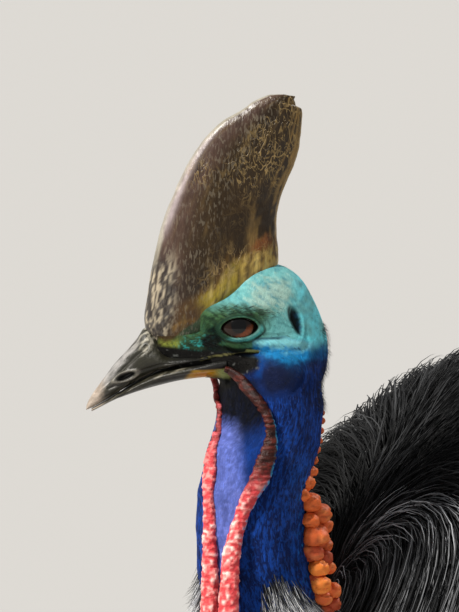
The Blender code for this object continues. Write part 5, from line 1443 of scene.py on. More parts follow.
@dataclass
class Caruncles:
    """The orange bulbs down the hind neck.

    Args:
        skin: the skin that they grow from.
        bulbs: (forward, up, half size, side from the neck's middle, redness, brightness as painted light and shade), in
            millimetres.
        seed: of the bulbs on the far side.
    """

    skin: HeadSkin
    bulbs: tuple[tuple[float, ...], ...] = (
        (-60.5, -66, 3.0, -4, 0.2, 0.6),
        (-60.5, -72, 3.4, -4, 0.2, 0.6),
        (-59.5, -79, 3.4, -3, 0.2, 0.6),
        (-58, -86, 3.6, -2, 0.2, 0.6),
        (-56.5, -93, 3.6, -1, 0.2, 0.65),
        (-55, -100, 4.0, 1, 0.2, 0.7),
        (-53, -108, 5.0, 5, 0.1, 0.95),
        (-49, -116, 6.6, 9, 0.0, 1.0),
        (-46.5, -124, 5.4, 14, 0.0, 1.0),
        (-52.5, -130, 8.4, 8, 0.15, 1.0),
        (-59.5, -139, 8.4, 2, 0.3, 0.95),
        (-52.5, -143, 6.8, 12, 0.1, 1.0),
        (-61, -149, 7.6, -4, 0.3, 0.95),
        (-55.5, -155, 10.4, 9, 0.3, 0.95),
        (-61.5, -163, 7.6, 0, 0.4, 0.9),
        (-53.5, -167, 8.2, 11, 0.75, 1.0),
        (-62, -172, 7.2, 5, 0.8, 0.8),
        (-58.8, -179, 7.8, 12, -0.6, 1.3),
        (-65, -180, 6.2, 3, 0.3, 1.2),
        (-56.5, -188, 6.0, 13, 0.7, 1.0),
        (-60, -192, 7.6, 14, -0.6, 1.3),
        (-68.5, -198, 6.8, 6, 0.2, 1.1),
        (-61.5, -202, 6.8, 13, 0.3, 1.1),
        (-69, -208, 6.4, 8, 0.8, 1.0),
        (-63.5, -213, 7.0, 13, 0.8, 1.0),
    )
    seed: int = 11

    def build(self) -> bpy.types.Object:
        """Every bulb is a lumpy ball sunk in its neighbours."""
        draw = np.random.default_rng(self.seed)
        rows = [(u, v, size, side, red, painted_light) for u, v, size, side, red, painted_light in self.bulbs]
        for v in np.linspace(-134, -222, 9):
            for angle in np.radians(np.arange(-34, -100, -13)) + draw.normal(0, 0.05, 6):
                centre, radius = self.skin.neck_centre(-v * MM)
                reach = radius / MM + draw.uniform(-1, 2)
                u = -centre[1] / MM - math.cos(angle) * reach
                rows.append((u, v + draw.normal(0, 2), draw.uniform(7, 10), math.sin(angle) * reach, draw.uniform(0, 0.6), 0.8))
        made = None
        for number, row in enumerate(rows):
            ball = self._ball(number, *row)
            made = ball if made is None else made.joined(ball)
        return made.piece("nape_caruncle_skin")

    def _ball(self, number: int, u: float, v: float, size: float, side: float, red: float, painted_light: float) -> Surface:
        """One bulb, wider than tall, with soft dents, painted highlights on its lumps and painted shade in its dents.
        """
        rings, sides = (20, 28) if number < len(self.bulbs) else (14, 20)
        polar = np.linspace(0.06, math.pi - 0.06, rings)[:, None]
        turn = np.linspace(0, 2 * math.pi, sides, endpoint=False)[None]
        way = np.stack([np.sin(polar) * np.cos(turn), np.sin(polar) * np.sin(turn), np.cos(polar) + 0 * turn], -1)
        lumps = layered_noise(way * 2.2 + number * 7.3, 1.6, 71)
        grooves = np.abs(lattice_noise(way * 1.3 + number * 3.1, 1.0, 73))
        reach = size * (1 + 0.24 * lumps - 0.16 * smoothstep(0.22, 0.0, grooves))
        centre = self.skin.neck_centre(-v * MM)[0][0] / MM
        grid = (in_head(u, v, centre + side) + way * np.array((1.10, 1.12, 0.92)) * reach[..., None]) * MM
        tone = np.array(linear(0.90, 0.44, 0.21)) * (1 - red) + np.array(linear(0.66, 0.26, 0.19)) * red
        paint = Paint.plain(lumps.shape, tuple(tone))
        # Painted highlights on the lumps.
        paint.lay(linear(0.96, 0.60, 0.34), 0.55 * smoothstep(0.0, 0.6, lumps) * (1 - 0.6 * red) * min(painted_light, 1))
        # Painted shade in the dents.
        paint.lay(linear(0.44, 0.17, 0.08), 0.45 * smoothstep(0.10, 0.0, grooves))
        # Each bulb's brightness is painted light and shade: darker up under the head, brighter lower down.
        return lofted(self.skin.stance.head(grid), paint.shade(np.full(lumps.shape, 0.35 + 0.65 * painted_light)).values)


# Body, legs and wings


@dataclass
class BodyForm:
    """The coat's outer surface: an egg on its side, with lines that run from the nape to under the tail.

    Args:
        half: half (width, length, depth).
        centre_y: the middle along the body, in the body's axes.
        centre_z: the middle's height.
        pole_tilt: how far the pole at the nape is raised.
        core_depth: how deep under the surface the body's skin lies.
    """

    half: tuple[float, float, float] = (0.222, 0.425, 0.232)
    centre_y: float = 0.092
    centre_z: float = 0.720
    front_drop: float = 0.036
    rear_drop: float = 0.115
    taper: float = 0.14
    widest_at: float = 0.15
    pole_tilt: float = math.radians(30)
    nape_hollow: float = 0.055
    nape_reach: float = 0.76
    core_depth: float = 0.024

    def surface(self, polar: Array, around: Array, out: Array) -> Array:
        """Points from the angle off the nape, the angle round from the back's ridge, and the distance out."""
        polar, around, out = np.broadcast_arrays(*(np.asarray(x, float) for x in (polar, around, out)))
        c, s = math.cos(self.pole_tilt), math.sin(self.pole_tilt)
        ring = np.sin(polar)
        across, ridge = ring * np.sin(around), ring * np.cos(around)
        lengthwise = -c * np.cos(polar) + s * ridge
        upright = s * np.cos(polar) + c * ridge
        out = out - self.nape_hollow * np.exp(-((polar / self.nape_reach) ** 2))
        wide = 1 - self.taper * (lengthwise - self.widest_at) ** 2
        drop = np.where(lengthwise > 0.1, self.rear_drop, self.front_drop) * (lengthwise - 0.1) ** 2
        return np.stack(
            [
                (self.half[0] + out) * wide * across,
                self.centre_y + (self.half[1] + out) * lengthwise,
                self.centre_z - drop + (self.half[2] + out) * upright,
            ],
            axis=-1,
        )

    def flank(self, y: Array, z: Array) -> Array:
        """Half width of the coat at places on the flank, kept upright below the widest part."""
        lengthwise = (y - self.centre_y) / self.half[1]
        drop = np.where(lengthwise > 0.1, self.rear_drop, self.front_drop) * (lengthwise - 0.1) ** 2
        upright = np.maximum((z - self.centre_z + drop) / self.half[2], 0.0)
        wide = 1 - self.taper * (lengthwise - self.widest_at) ** 2
        return self.half[0] * wide * np.sqrt(np.maximum(1 - lengthwise**2 - upright**2, 0.0))


@dataclass
class LegForm:
    """Joints and sizes of the left leg, in the body's axes."""

    knee: tuple[float, float, float] = (0.118, 0.020, 0.640)
    hock: tuple[float, float, float] = (0.106, 0.212, 0.372)
    foot: tuple[float, float, float] = (0.104, 0.132, 0.046)
    thigh_end: float = 0.80
    scutes: int = 26
    toes: tuple[tuple[str, float, float, float, float, float], ...] = (
        ("inner", -27, 0.086, 0.0145, 0.108, 0.0085),
        ("middle", -1, 0.150, 0.0165, 0.046, 0.0090),
        ("outer", 27, 0.108, 0.0140, 0.038, 0.0080),
    )

    def thigh_axis(self, share: Array) -> tuple[Array, Array, Array]:
        """Middle, half width and half depth of the feathered thigh at shares from knee to hock."""
        knee, hock = np.array(self.knee), np.array(self.hock)
        share = np.asarray(share, float)
        wide = 0.060 - 0.038 * (share / self.thigh_end) ** 1.3
        deep = 0.086 - 0.060 * (share / self.thigh_end) ** 1.2
        return knee + (hock - knee) * share[..., None], wide, deep

    def shank_rings(self) -> Array:
        """The bare leg from inside the thigh over the hock to the foot, with scutes down its front."""
        knee, hock, foot = (np.array(p) for p in (self.knee, self.hock, self.foot))
        tibia, tarsus = hock - knee, foot - hock
        rows = [
            (*(knee + tibia * 0.62), 0.026, 0.029),
            (*(knee + tibia * 0.80), 0.021, 0.024),
            (*(hock - tibia * 0.07), 0.024, 0.028),
            (*(hock + tarsus * 0.01), 0.0275, 0.0305),
            (*(hock + tarsus * 0.07), 0.026, 0.029),
            (*(hock + tarsus * 0.15), 0.0215, 0.0245),
        ]
        for share in (0.26, 0.38, 0.50, 0.62, 0.74, 0.86, 0.94, 1.0):
            spot = hock + tarsus * share + np.array((0, -0.004 * share, 0))
            rows.append((*spot, 0.0165 + 0.0045 * (1 - share) ** 4 + 0.0085 * share**6, 0.0190 + 0.0050 * (1 - share) ** 4 + 0.0070 * share**6))
        for drop, wide, deep in ((0.010, 0.0258, 0.0275), (0.019, 0.0262, 0.0288), (0.027, 0.0190, 0.0210)):
            rows.append((*(foot - np.array((0, 0.004, drop))), wide, deep))
        fine = smooth_path(np.array(rows), 250)
        grid = carried_rings(fine[:, :3], fine[:, 3], fine[:, 4], 44, np.array((1.0, 0, 0)))
        normals = grid_normals(grid)
        travelled = np.concatenate([[0], np.cumsum(np.linalg.norm(np.diff(fine[:, :3], axis=0), axis=1))])
        plate = travelled / 0.0125
        tooth = (plate % 1.0)[:, None]
        ahead = smoothstep(0.1, 0.7, -normals[..., 1])
        step = ahead * (0.0010 * tooth**0.6 - 0.0009 * hump(tooth, 0.0, 0.10) - 0.0004)
        scales = 0.0006 * layered_noise(grid / MM, 5.0, 81) * (1 - 0.6 * ahead)
        return grid + normals * (step + scales)[..., None]

    def toe_rings(self, which: tuple[str, float, float, float, float, float]) -> Array:
        """One toe: a tube, flat underneath, with pads at its joints and scutes on top."""
        _, turn_out, length, half, _, _ = which
        angle = math.radians(turn_out)
        ahead = np.array((math.sin(angle), -math.cos(angle), 0))
        across = np.array((math.cos(angle), math.sin(angle), 0))
        share = np.linspace(0, 1, 100)[:, None]
        turn = np.linspace(0, 2 * math.pi, 32, endpoint=False)[None] + math.pi / 8
        swell = 1 + 0.09 * np.cos(2 * math.pi * share * 2.5)
        round_end = np.sqrt(np.clip(1 - ((share - 0.86) / 0.155).clip(0, 1) ** 2, 0.12, 1))
        wide = half * (1.08 - 0.34 * share) * swell * round_end
        tall = half * (1.10 - 0.42 * share) * swell * round_end
        tooth = (share * length / 0.0085) % 1.0
        top = np.clip(np.sin(turn), 0, 1)
        step = top * (0.0011 * tooth**0.6 - 0.0008 * hump(tooth, 0, 0.12))
        start = np.array((self.foot[0], self.foot[1], 0)) + ahead * 0.012
        grid = start + ahead * ((length - 0.012) * share)[..., None] + (np.cos(turn) * (wide + step * 0.4))[..., None] * across
        grid = grid + 0 * turn[..., None]
        grid[..., 2] = np.maximum(half * (1.10 - 0.42 * share) * 0.80 + np.sin(turn) * tall + step, 0.0)
        return grid

    def claw_rings(self, which: tuple[str, float, float, float, float, float]) -> Array:
        """One claw, a bent cone; the inner toe's is a long dagger."""
        _, turn_out, length, half, reach, radius = which
        angle = math.radians(turn_out)
        ahead = np.array((math.sin(angle), -math.cos(angle), 0))
        base = np.array((self.foot[0], self.foot[1], 0)) + ahead * (length - 0.010)
        share = np.linspace(0, 1, 44)
        start = half * 0.78
        height = start + 0.002 * np.sin(math.pi * share) - (start - 0.0032) * share**1.6
        path = base + ahead * ((reach + 0.010) * share)[:, None] + np.array((0, 0, 1.0)) * height[:, None]
        size = np.maximum(radius * (1 - share**1.35), 0.0009)
        grid = carried_rings(path, size, size * 1.1, 18, np.cross(ahead, (0, 0, 1.0)))
        grid[..., 2] = np.maximum(grid[..., 2], 0.0004)
        return grid

    def pad(self) -> Array:
        """The padded joint where the toes part, flat on the floor."""
        polar = np.linspace(0.05, math.pi - 0.05, 28)[:, None]
        turn = np.linspace(0, 2 * math.pi, 40, endpoint=False)[None]
        way = np.stack([np.sin(polar) * np.cos(turn), np.sin(polar) * np.sin(turn), np.cos(polar) + 0 * turn], -1)
        grid = way * np.array((0.0270, 0.0300, 0.0260)) + np.array((self.foot[0], self.foot[1] - 0.003, 0.0235))
        grid[..., 2] = np.maximum(grid[..., 2], 0.0)
        return grid


@dataclass
class Lower:
    """What is below and beside the coat: the body's skin, legs, claws and wings.

    Args:
        stance: where the body lies.
        form: the coat's outer surface.
        leg: the left leg.
    """

    stance: Stance
    form: BodyForm
    leg: LegForm

    def placed(self, grid: Array, side: Side) -> Array:
        """A grid of the left side on either side, in the row frame."""
        return self.stance.body(grid * np.array((side.value, 1, 1)))

    def body_skin(self) -> bpy.types.Object:
        """The dark skin under the coat, over body and thighs."""
        polar = np.linspace(0.02, math.pi - 0.02, 64)[:, None]
        around = np.linspace(0, 2 * math.pi, 96, endpoint=False)[None]
        grid = self.form.surface(polar, around, -self.form.core_depth)
        dark = np.broadcast_to(np.array(linear(0.07, 0.07, 0.075)), (*grid.shape[:2], 3))
        made = lofted(self.stance.body(grid), dark)
        for side in Side:
            centre, wide, deep = self.leg.thigh_axis(np.linspace(0.05, self.leg.thigh_end, 40))
            rings = carried_rings(centre, wide - 0.006, deep - 0.006, 48, np.array((1.0, 0, 0)))
            made = made.joined(lofted(self.placed(rings, side), np.broadcast_to(dark[0, 0], (*rings.shape[:2], 3))))
        return made.piece("skin_body")

    def leg_skin(self, side: Side) -> bpy.types.Object:
        """One bare leg with its foot."""
        grids = [self.leg.shank_rings(), self.leg.pad(), *(self.leg.toe_rings(toe) for toe in self.leg.toes)]
        made = None
        for grid in grids:
            noise = layered_noise(grid / MM, 9.0, 91)
            paint = Paint.plain(noise.shape, linear(0.36, 0.35, 0.31))
            paint.lay(linear(0.20, 0.20, 0.18), smoothstep(-0.1, 0.6, noise))
            plate = (grid[..., 2] / 0.0125) % 1.0
            ahead = smoothstep(0.1, 0.6, -grid_normals(grid)[..., 1]) * smoothstep(0.050, 0.060, grid[..., 2])
            paint.lay(linear(0.09, 0.09, 0.08), 0.7 * ahead * hump(plate, 0.10, 0.08))
            shell = lofted(self.placed(grid, side), paint.values)
            made = shell if made is None else made.joined(shell)
        return made.piece(f"leg_skin_{side.word}")

    def claw(self, side: Side, number: int) -> bpy.types.Object:
        """One claw."""
        which = self.leg.toes[number]
        return lofted(self.placed(self.leg.claw_rings(which), side)).piece(f"claw_horn_{which[0]}_{side.word}")

    def wing(self, side: Side) -> bpy.types.Object:
        """The short wing stub and its bare quills along the flank."""
        root = np.array((0.201, 0.000, 0.735))
        polar = np.linspace(0.05, math.pi - 0.05, 24)[:, None]
        turn = np.linspace(0, 2 * math.pi, 32, endpoint=False)[None]
        way = np.stack([np.sin(polar) * np.cos(turn), np.cos(polar) + 0 * turn, np.sin(polar) * np.sin(turn)], -1)
        made = lofted(self.placed(way * np.array((0.0120, 0.036, 0.015)) + root, side))
        for i in range(5):
            share = i / 4
            start = root + np.array((0.008, 0.002 + 0.022 * share, 0.008 - 0.014 * share))
            length = 0.330 * (1 - 0.22 * abs(share - 0.4))
            down = math.radians(38 + 22 * (1 - share))
            t = np.linspace(0, 1, 40)
            y = start[1] + length * t * math.cos(down) * (1 - 0.25 * t)
            z = start[2] - length * t * math.sin(down) * (0.72 + 0.28 * t)
            lift = smoothstep(0, 0.25, t)
            x = start[0] * (1 - lift) + (self.form.flank(y, z) + 0.002 * (i % 2)) * lift
            size = 0.0026 * (1 - 0.72 * t) + 0.0003
            rings = carried_rings(np.stack([x, y, z], -1), size, size, 12, np.array((0, 0.6, 0.8)))
            made = made.joined(lofted(self.placed(rings, side)))
        return made.piece(f"wing_quills_{side.word}")


# Coat


@dataclass(frozen=True)
class CoatPatch:
    """One part of the coat.

    Args:
        name: of the piece.
        count: how many strands.
        polar: from where to where off the nape.
        around: from where to where round from the back's ridge.
        length: shortest and longest strand.
        half_width: of a strand.
        lift: lowest and highest tip over the coat's surface.
        droop: how far a tip sinks where the coat hangs.
        grey: how pale the palest strands are, as painted sheen.
        seed: of the random draws.
    """

    name: str
    count: int
    polar: tuple[float, float]
    around: tuple[float, float]
    length: tuple[float, float]
    half_width: float
    lift: tuple[float, float]
    droop: float
    grey: float
    seed: int


PATCHES = (
    CoatPatch("coat_shoulder_left", 5800, (0.05, 0.95), (0.0, math.pi), (0.075, 0.14), 0.00058, (-0.016, -0.002), 0.03, 0.30, 101),
    CoatPatch("coat_shoulder_right", 3700, (0.05, 0.95), (math.pi, 2 * math.pi), (0.085, 0.15), 0.00095, (-0.016, -0.002), 0.03, 0.30, 102),
    CoatPatch("coat_back", 5300, (0.70, 1.75), (-1.15, 1.15), (0.13, 0.21), 0.00085, (-0.014, 0.002), 0.05, 0.16, 103),
    CoatPatch("coat_side_left", 4600, (0.85, 1.75), (1.05, math.pi), (0.15, 0.24), 0.0012, (-0.008, 0.004), 0.085, 0.16, 104),
    CoatPatch("coat_side_right", 4200, (0.85, 1.75), (math.pi, 2 * math.pi - 1.05), (0.15, 0.24), 0.0013, (-0.008, 0.004), 0.085, 0.16, 105),
    CoatPatch("coat_rump_left", 3800, (1.65, 2.85), (0.0, math.pi), (0.17, 0.27), 0.0015, (-0.006, 0.006), 0.085, 0.12, 106),
    CoatPatch("coat_rump_right", 3800, (1.65, 2.85), (math.pi, 2 * math.pi), (0.17, 0.27), 0.0015, (-0.006, 0.006), 0.085, 0.12, 107),
)


@dataclass
class Coat:
    """Hair-like feathers that follow the body's lines, drawn as closed tapered strands.

    Args:
        stance: where head and body lie.
        form: the coat's outer surface.
        leg: the left leg.
        skin: the skin of head and neck.
    """

    stance: Stance
    form: BodyForm
    leg: LegForm
    skin: HeadSkin
    share: tuple[float, ...] = (0.0, 0.12, 0.28, 0.48, 0.70, 0.88, 1.0)
    width: tuple[float, ...] = (0.7, 1.0, 1.0, 0.92, 0.72, 0.42, 0.0)
    front: float = math.radians(122)

    def roots(self, patch: CoatPatch, draw: np.random.Generator) -> tuple[Array, Array]:
        """Roots spread evenly over the surface, by keeping each draw with the chance of its area."""
        polar = draw.uniform(*patch.polar, patch.count * 6)
        around = draw.uniform(*patch.around, patch.count * 6)
        along, across = self._rates(polar, around)
        area = along * across
        kept = draw.uniform(0, area.max() * 1.001, len(area)) < area
        return polar[kept][: patch.count], around[kept][: patch.count]

    def _rates(self, polar: Array, around: Array) -> tuple[Array, Array]:
        """Metres of surface for each radian down and round, from small steps."""
        step = 1e-3
        here = self.form.surface(polar, around, 0.0)
        along = np.linalg.norm(self.form.surface(polar + step, around, 0.0) - here, axis=-1) / step
        across = np.linalg.norm(self.form.surface(polar, around + step, 0.0) - here, axis=-1) / step
        return along, across

    def patch(self, patch: CoatPatch) -> bpy.types.Object:
        """Strands whose height rises as 1 - (1 - t)^2.2 and whose tips sink as t^2."""
        draw = np.random.default_rng(patch.seed)
        polar, around = self.roots(patch, draw)
        along, across = self._rates(polar, around)
        here = self.form.surface(polar, around, 0.0)
        length = draw.uniform(*patch.length, len(polar)) * np.minimum(1.0, 0.62 + 0.5 * polar)
        t = np.array(self.share)[None]
        clump = lattice_noise(here, 0.024, patch.seed)
        beside = np.abs((around + math.pi) % (2 * math.pi) - math.pi)
        fall = smoothstep(0.55, 1.25, beside) * smoothstep(math.pi - 0.1, 2.2, beside)
        turned = fall * np.interp(polar, (0.2, 0.9, 1.6, 2.4), (1.15, 0.95, 0.60, 0.30))
        turned = turned + 0.75 * np.exp(-(((polar - 0.35) / 0.35) ** 2)) * smoothstep(0.05, 0.4, beside) * (1 - fall)
        under = self.below_crest(here, 12.0, 18.0) * smoothstep(0.3, 0.7, beside)
        turned = turned + under * np.maximum(1.30 - turned, 0)
        bend = turned[:, None] * (0.55 + 0.25 * under[:, None] + (0.45 - 0.25 * under[:, None]) * t)
        steps = np.diff(t, axis=1, prepend=0.0)
        down = np.cumsum(np.cos(bend) * steps, axis=1)
        over = np.cumsum(np.sin(bend) * steps, axis=1)
        hand = np.where((around % (2 * math.pi)) < math.pi, 1.0, -1.0)
        sway = 0.016 * clump + draw.normal(0, 0.006, len(polar))
        wave = draw.normal(0, 0.0022, (len(polar), 1)) * np.sin(t * draw.uniform(3, 7, (len(polar), 1)))
        sideways = over * (length * hand)[:, None] + sway[:, None] * t**1.6 + wave
        turn = around[:, None] + sideways / np.maximum(across, 0.08)[:, None]
        low, high = (0.02, math.pi + 0.10) if patch.around[1] <= math.pi + 0.01 else (math.pi - 0.10, 2 * math.pi - 0.02)
        if patch.around[0] >= 0:
            turn = np.where(fall[:, None] > 0.01, np.clip(turn, low, high), turn)
        reach = np.minimum(length / along, math.pi - 0.03 - polar)
        depth = self.form.core_depth + 0.001
        lift = draw.uniform(*patch.lift, len(polar)) + 0.003 * clump
        out = -depth + (depth + lift)[:, None] * (1 - (1 - t) ** 2.2)
        paths = self.form.surface(polar[:, None] + reach[:, None] * down, turn, out)
        hang = np.sin(around / 2) ** 2 * np.minimum(1.0, polar / 1.6) * draw.uniform(0.7, 1.2, len(polar))
        paths[..., 2] -= patch.droop * hang[:, None] * t**2
        middle = self.form.surface(polar, around, -0.10)
        uv = np.stack([(around % (2 * math.pi)) / (2 * math.pi), polar / math.pi], -1) * 0.99
        return self._strands(patch.name, paths, patch.half_width, here - middle, uv, self.sheen_and_neck_shadow(paths[:, 4], patch.grey), draw)

    def below_crest(self, places: Array, start: float, depth: float) -> Array:
        """0 above the line over the shoulder where the strands turn down, 1 from some way below it."""
        head = self.stance.to_head(self.stance.body(places)) / MM
        u, seen = -head[:, 1], head[:, 2] - 0.105 * head[:, 0]
        crest = np.interp(u, (-300, -165, -143, -111, -99, -86, -72), (-140, -131, -125, -129, -137, -155, -180))
        return smoothstep(start, start - depth, seen - crest)

    def sheen_and_neck_shadow(self, places: Array, grey: float) -> Array:
        """How pale strands are, a painted sheen: nearly black in a painted shadow behind the neck, dark above the
        shoulder's crest, palest just below it.
        """
        head = self.stance.to_head(self.stance.body(places)) / MM
        u, seen = -head[:, 1], head[:, 2] - 0.105 * head[:, 0]
        below = self.below_crest(places, 6.0, 16.0) * (1 - 0.70 * self.below_crest(places, -12.0, 50.0))
        # A painted shadow of the neck: strands just behind it are made nearly black.
        gap = smoothstep(-112, -96, u) * smoothstep(-84, -100, seen) * (1 - below)
        return grey * (0.34 + 3.6 * below) * (1 - 0.97 * gap)

    def thigh(self, side: Side) -> bpy.types.Object:
        """Strands down the thigh that end in a loose hem over the shank."""
        draw = np.random.default_rng(120 + side.value)
        count = 2000
        start = draw.uniform(0.10, 0.78, count)
        turn = draw.uniform(0, 2 * math.pi, count)
        t = np.array(self.share)[None]
        length = draw.uniform(0.06, 0.115, count)
        knee, hock = np.array(self.leg.knee), np.array(self.leg.hock)
        run = (hock - knee) / np.linalg.norm(hock - knee)
        share = np.minimum(start[:, None] + length[:, None] * t / np.linalg.norm(hock - knee), 0.97)
        centre, wide, deep = self.leg.thigh_axis(share)
        ahead = np.cross(np.array((1.0, 0, 0)), run)
        lift = draw.uniform(-0.001, 0.007, count)[:, None]
        out = -0.007 + (0.007 + lift) * (1 - (1 - t) ** 2)
        wide, deep = np.maximum(wide, 0.027) + out, np.maximum(deep, 0.030) + out
        bend = turn[:, None] + (0.25 * lattice_noise(np.stack([start * 4, np.cos(turn), np.sin(turn)], -1), 0.4, 7))[:, None] * t**2
        paths = centre + (np.cos(bend) * wide)[..., None] * np.array((1.0, 0, 0)) + (np.sin(bend) * deep)[..., None] * ahead
        paths = paths * np.array((side.value, 1, 1))
        facing = (paths[:, 0] - centre[:, 0] * np.array((side.value, 1, 1)))
        uv = np.stack([turn / (2 * math.pi), start], -1) * 0.99
        return self._strands(f"coat_thigh_{side.word}", paths, 0.0009, facing, uv, 0.06, draw)

    def collar(self) -> bpy.types.Object:
        """Short feathers over the lower neck, down from a border that runs lower in front."""
        draw = np.random.default_rng(131)
        angle = draw.uniform(0, 2 * math.pi, 22000)
        depth = draw.uniform(0.150, 0.275, 22000)
        centre, radius = self.skin.neck_centre(depth)
        ray = np.stack([np.sin(angle), np.cos(angle), 0 * angle], -1)
        roots = centre + ray * (radius - 0.001)[:, None]
        off = np.degrees(np.abs((angle - self.front + math.pi) % (2 * math.pi) - math.pi))
        border = np.interp(off, (0, 20, 36, 58, 77, 92, 180), (0.243, 0.209, 0.185, 0.175, 0.182, 0.192, 0.192))
        ragged = draw.normal(0, 0.003, len(depth)) + 0.005 * lattice_noise(roots, 0.010, 9)
        kept = depth > border + ragged
        roots, ray, depth, angle = (values[kept][:9000] for values in (roots, ray, depth, angle))
        count = len(roots)
        thin = Coat(self.stance, self.form, self.leg, self.skin, (0.0, 0.3, 0.6, 0.85, 1.0), (0.9, 1.0, 0.8, 0.45, 0.0))
        t = np.array(thin.share)[None, :, None]
        length = draw.uniform(0.014, 0.030, count)[:, None, None]
        flow = self.skin.neck_centre(depth + 0.004)[0] - self.skin.neck_centre(depth)[0]
        flow /= np.linalg.norm(flow, axis=1, keepdims=True)
        stray = draw.normal(0, 0.10, (count, 1, 3)) + 0.25 * np.stack([lattice_noise(roots, 0.012, s) for s in (1, 2, 3)], -1)[:, None]
        paths = roots[:, None] + length * t * (flow[:, None] + stray * t) + ray[:, None] * (0.0035 * np.sin(t * 1.5) + 0.36 * length * t**2)
        uv = np.stack([angle / (2 * math.pi), depth], -1) * 0.99
        places = self.stance.head(paths) - self.stance.shift
        # Strands at the collar's top border stay dark as a painted shadow; further down, they are paled as a painted
        # sheen.
        clear_of_border_shade = np.interp(depth - border[kept][:9000], (0.0, 0.006, 0.014), (0.05, 0.5, 1.0))
        return thin._strands("coat_collar", places, 0.00042, self.stance.head_way(ray), uv, 5.0 * clear_of_border_shade, draw)

    def bristles(self) -> bpy.types.Object:
        """Sparse black bristles on brow, lore, jaw and hind neck, rooted in the skin."""
        draw = np.random.default_rng(141)
        grid, normals, uv = self.skin.grid, self.skin.normals, self.skin.uv
        flat, normal = grid.reshape(-1, 3), normals.reshape(-1, 3)
        u, v, w = -flat[:, 1] / MM, flat[:, 2] / MM, np.abs(flat[:, 0] / MM)
        brow = line_distance(u, v, ((16, 12.5), (4, 14.4), (-8, 13.8), (-22, 11)))[0]
        chance = 0.30 * (brow < 3.0) * (w > 12) + 0.10 * (np.hypot(u - 22, (v + 8) * 1.6) < 9) * (w > 6)
        chance = chance + 0.10 * (np.hypot(u - 4, (v + 28) / 0.5) < 17) * (w > 8)
        nape = (normal[:, 1] > 0.85) & (v < 4) & (v > -62) & (u < -35)
        chance = chance + 0.75 * nape
        chance = chance + 0.012 * ((v > -40) & (u < 5) & (u > -62))
        picked = np.flatnonzero(draw.uniform(0, 1, len(flat)) < chance * 0.55)
        picked = draw.permutation(picked)[:3000]
        roots, way = flat[picked], normal[picked]
        browed = (brow[picked] < 3.2) & (w[picked] > 12)
        length = np.where(browed | nape[picked], draw.uniform(3, 6.5, len(picked)), draw.uniform(1.8, 4.2, len(picked))) * MM
        back = in_head(-0.9, np.where(browed, 0.15, -0.5), 0.0)
        flow = back - way * (back * way).sum(1, keepdims=True)
        flow /= np.linalg.norm(flow, axis=1, keepdims=True) + 1e-9
        t = np.array((0.0, 0.4, 0.75, 1.0))[None, :, None]
        stray = draw.normal(0, 0.18, (len(picked), 1, 3))
        paths = roots[:, None] - way[:, None] * 0.0004 + length[:, None, None] * (flow[:, None] * t + way[:, None] * (0.75 * t - 0.25 * t**2) + stray * t)
        places = self.stance.head(paths) - self.stance.shift
        keep = Coat(self.stance, self.form, self.leg, self.skin, (0.0, 0.4, 0.75, 1.0), (1.0, 0.85, 0.55, 0.0))
        return keep._strands("bristles_head", places, 0.00016, self.stance.head_way(way), uv.reshape(-1, 2)[picked], 0.05, draw)

    def _strands(self, name: str, paths: Array, half_width: float, facing: Array, uv: Array, grey: Array | float, draw: np.random.Generator) -> bpy.types.Object:
        """Makes one piece of the coat.

        Args:
            name: the piece's name.
            paths: strands by stations by three, in the body's axes.
            half_width: of a strand where it is widest.
            facing: which way each strand's flat side looks.
            uv: each strand's place on the skin's unwrap.
            grey: how pale the palest strands are, as painted sheen.
            draw: random draws.

        Returns:
            The object.
        """
        count = len(paths)
        sizes = half_width * np.array(self.width)[None] * draw.uniform(0.75, 1.25, (count, 1))
        made = strand_surface(self.stance.body(paths), sizes, 0.42, facing, uv)
        each = len(made.points) // count
        # Each strand's paleness is a painted sheen, weaker towards the root, with a cool tint laid over it.
        pale = np.reshape(grey, (-1, 1)) * draw.beta(0.5, 1.7, (count, 1)) + 0.005
        share = np.concatenate([np.repeat(np.arange(len(self.share) - 1) / (len(self.share) - 1), 3), [1.0]])[None]
        tone = pale * (0.35 + 0.65 * share) * (1 - 0.35 * share**4)
        cool = np.array((0.96, 0.99, 1.04))
        made.paint = (tone.reshape(-1, 1) * cool).clip(0, 1)
        assert len(made.paint) == count * each
        LOG.info("%s: %d strands, %d faces", name, count, len(made.faces))
        return made.piece(name, "OFBake")


# Finishes


@dataclass(frozen=True)
class Coordinates:
    """Where a finish's patterns are fixed."""

    hand: Nodes

    def object(self) -> bpy.types.NodeSocket:
        """The object's own coordinates."""
        return self.hand.add("TexCoord").outputs["Object"]

    def attribute(self, name: str, colour: bool = False) -> bpy.types.NodeSocket:
        """A named vertex attribute."""
        node = self.hand.add("Attribute", attribute_name=name)
        return node.outputs["Color" if colour else "Fac"]

    def uv(self, name: str = "surface") -> bpy.types.NodeSocket:
        """A UV map."""
        return self.hand.add("UVMap", uv_map=name).outputs[0]


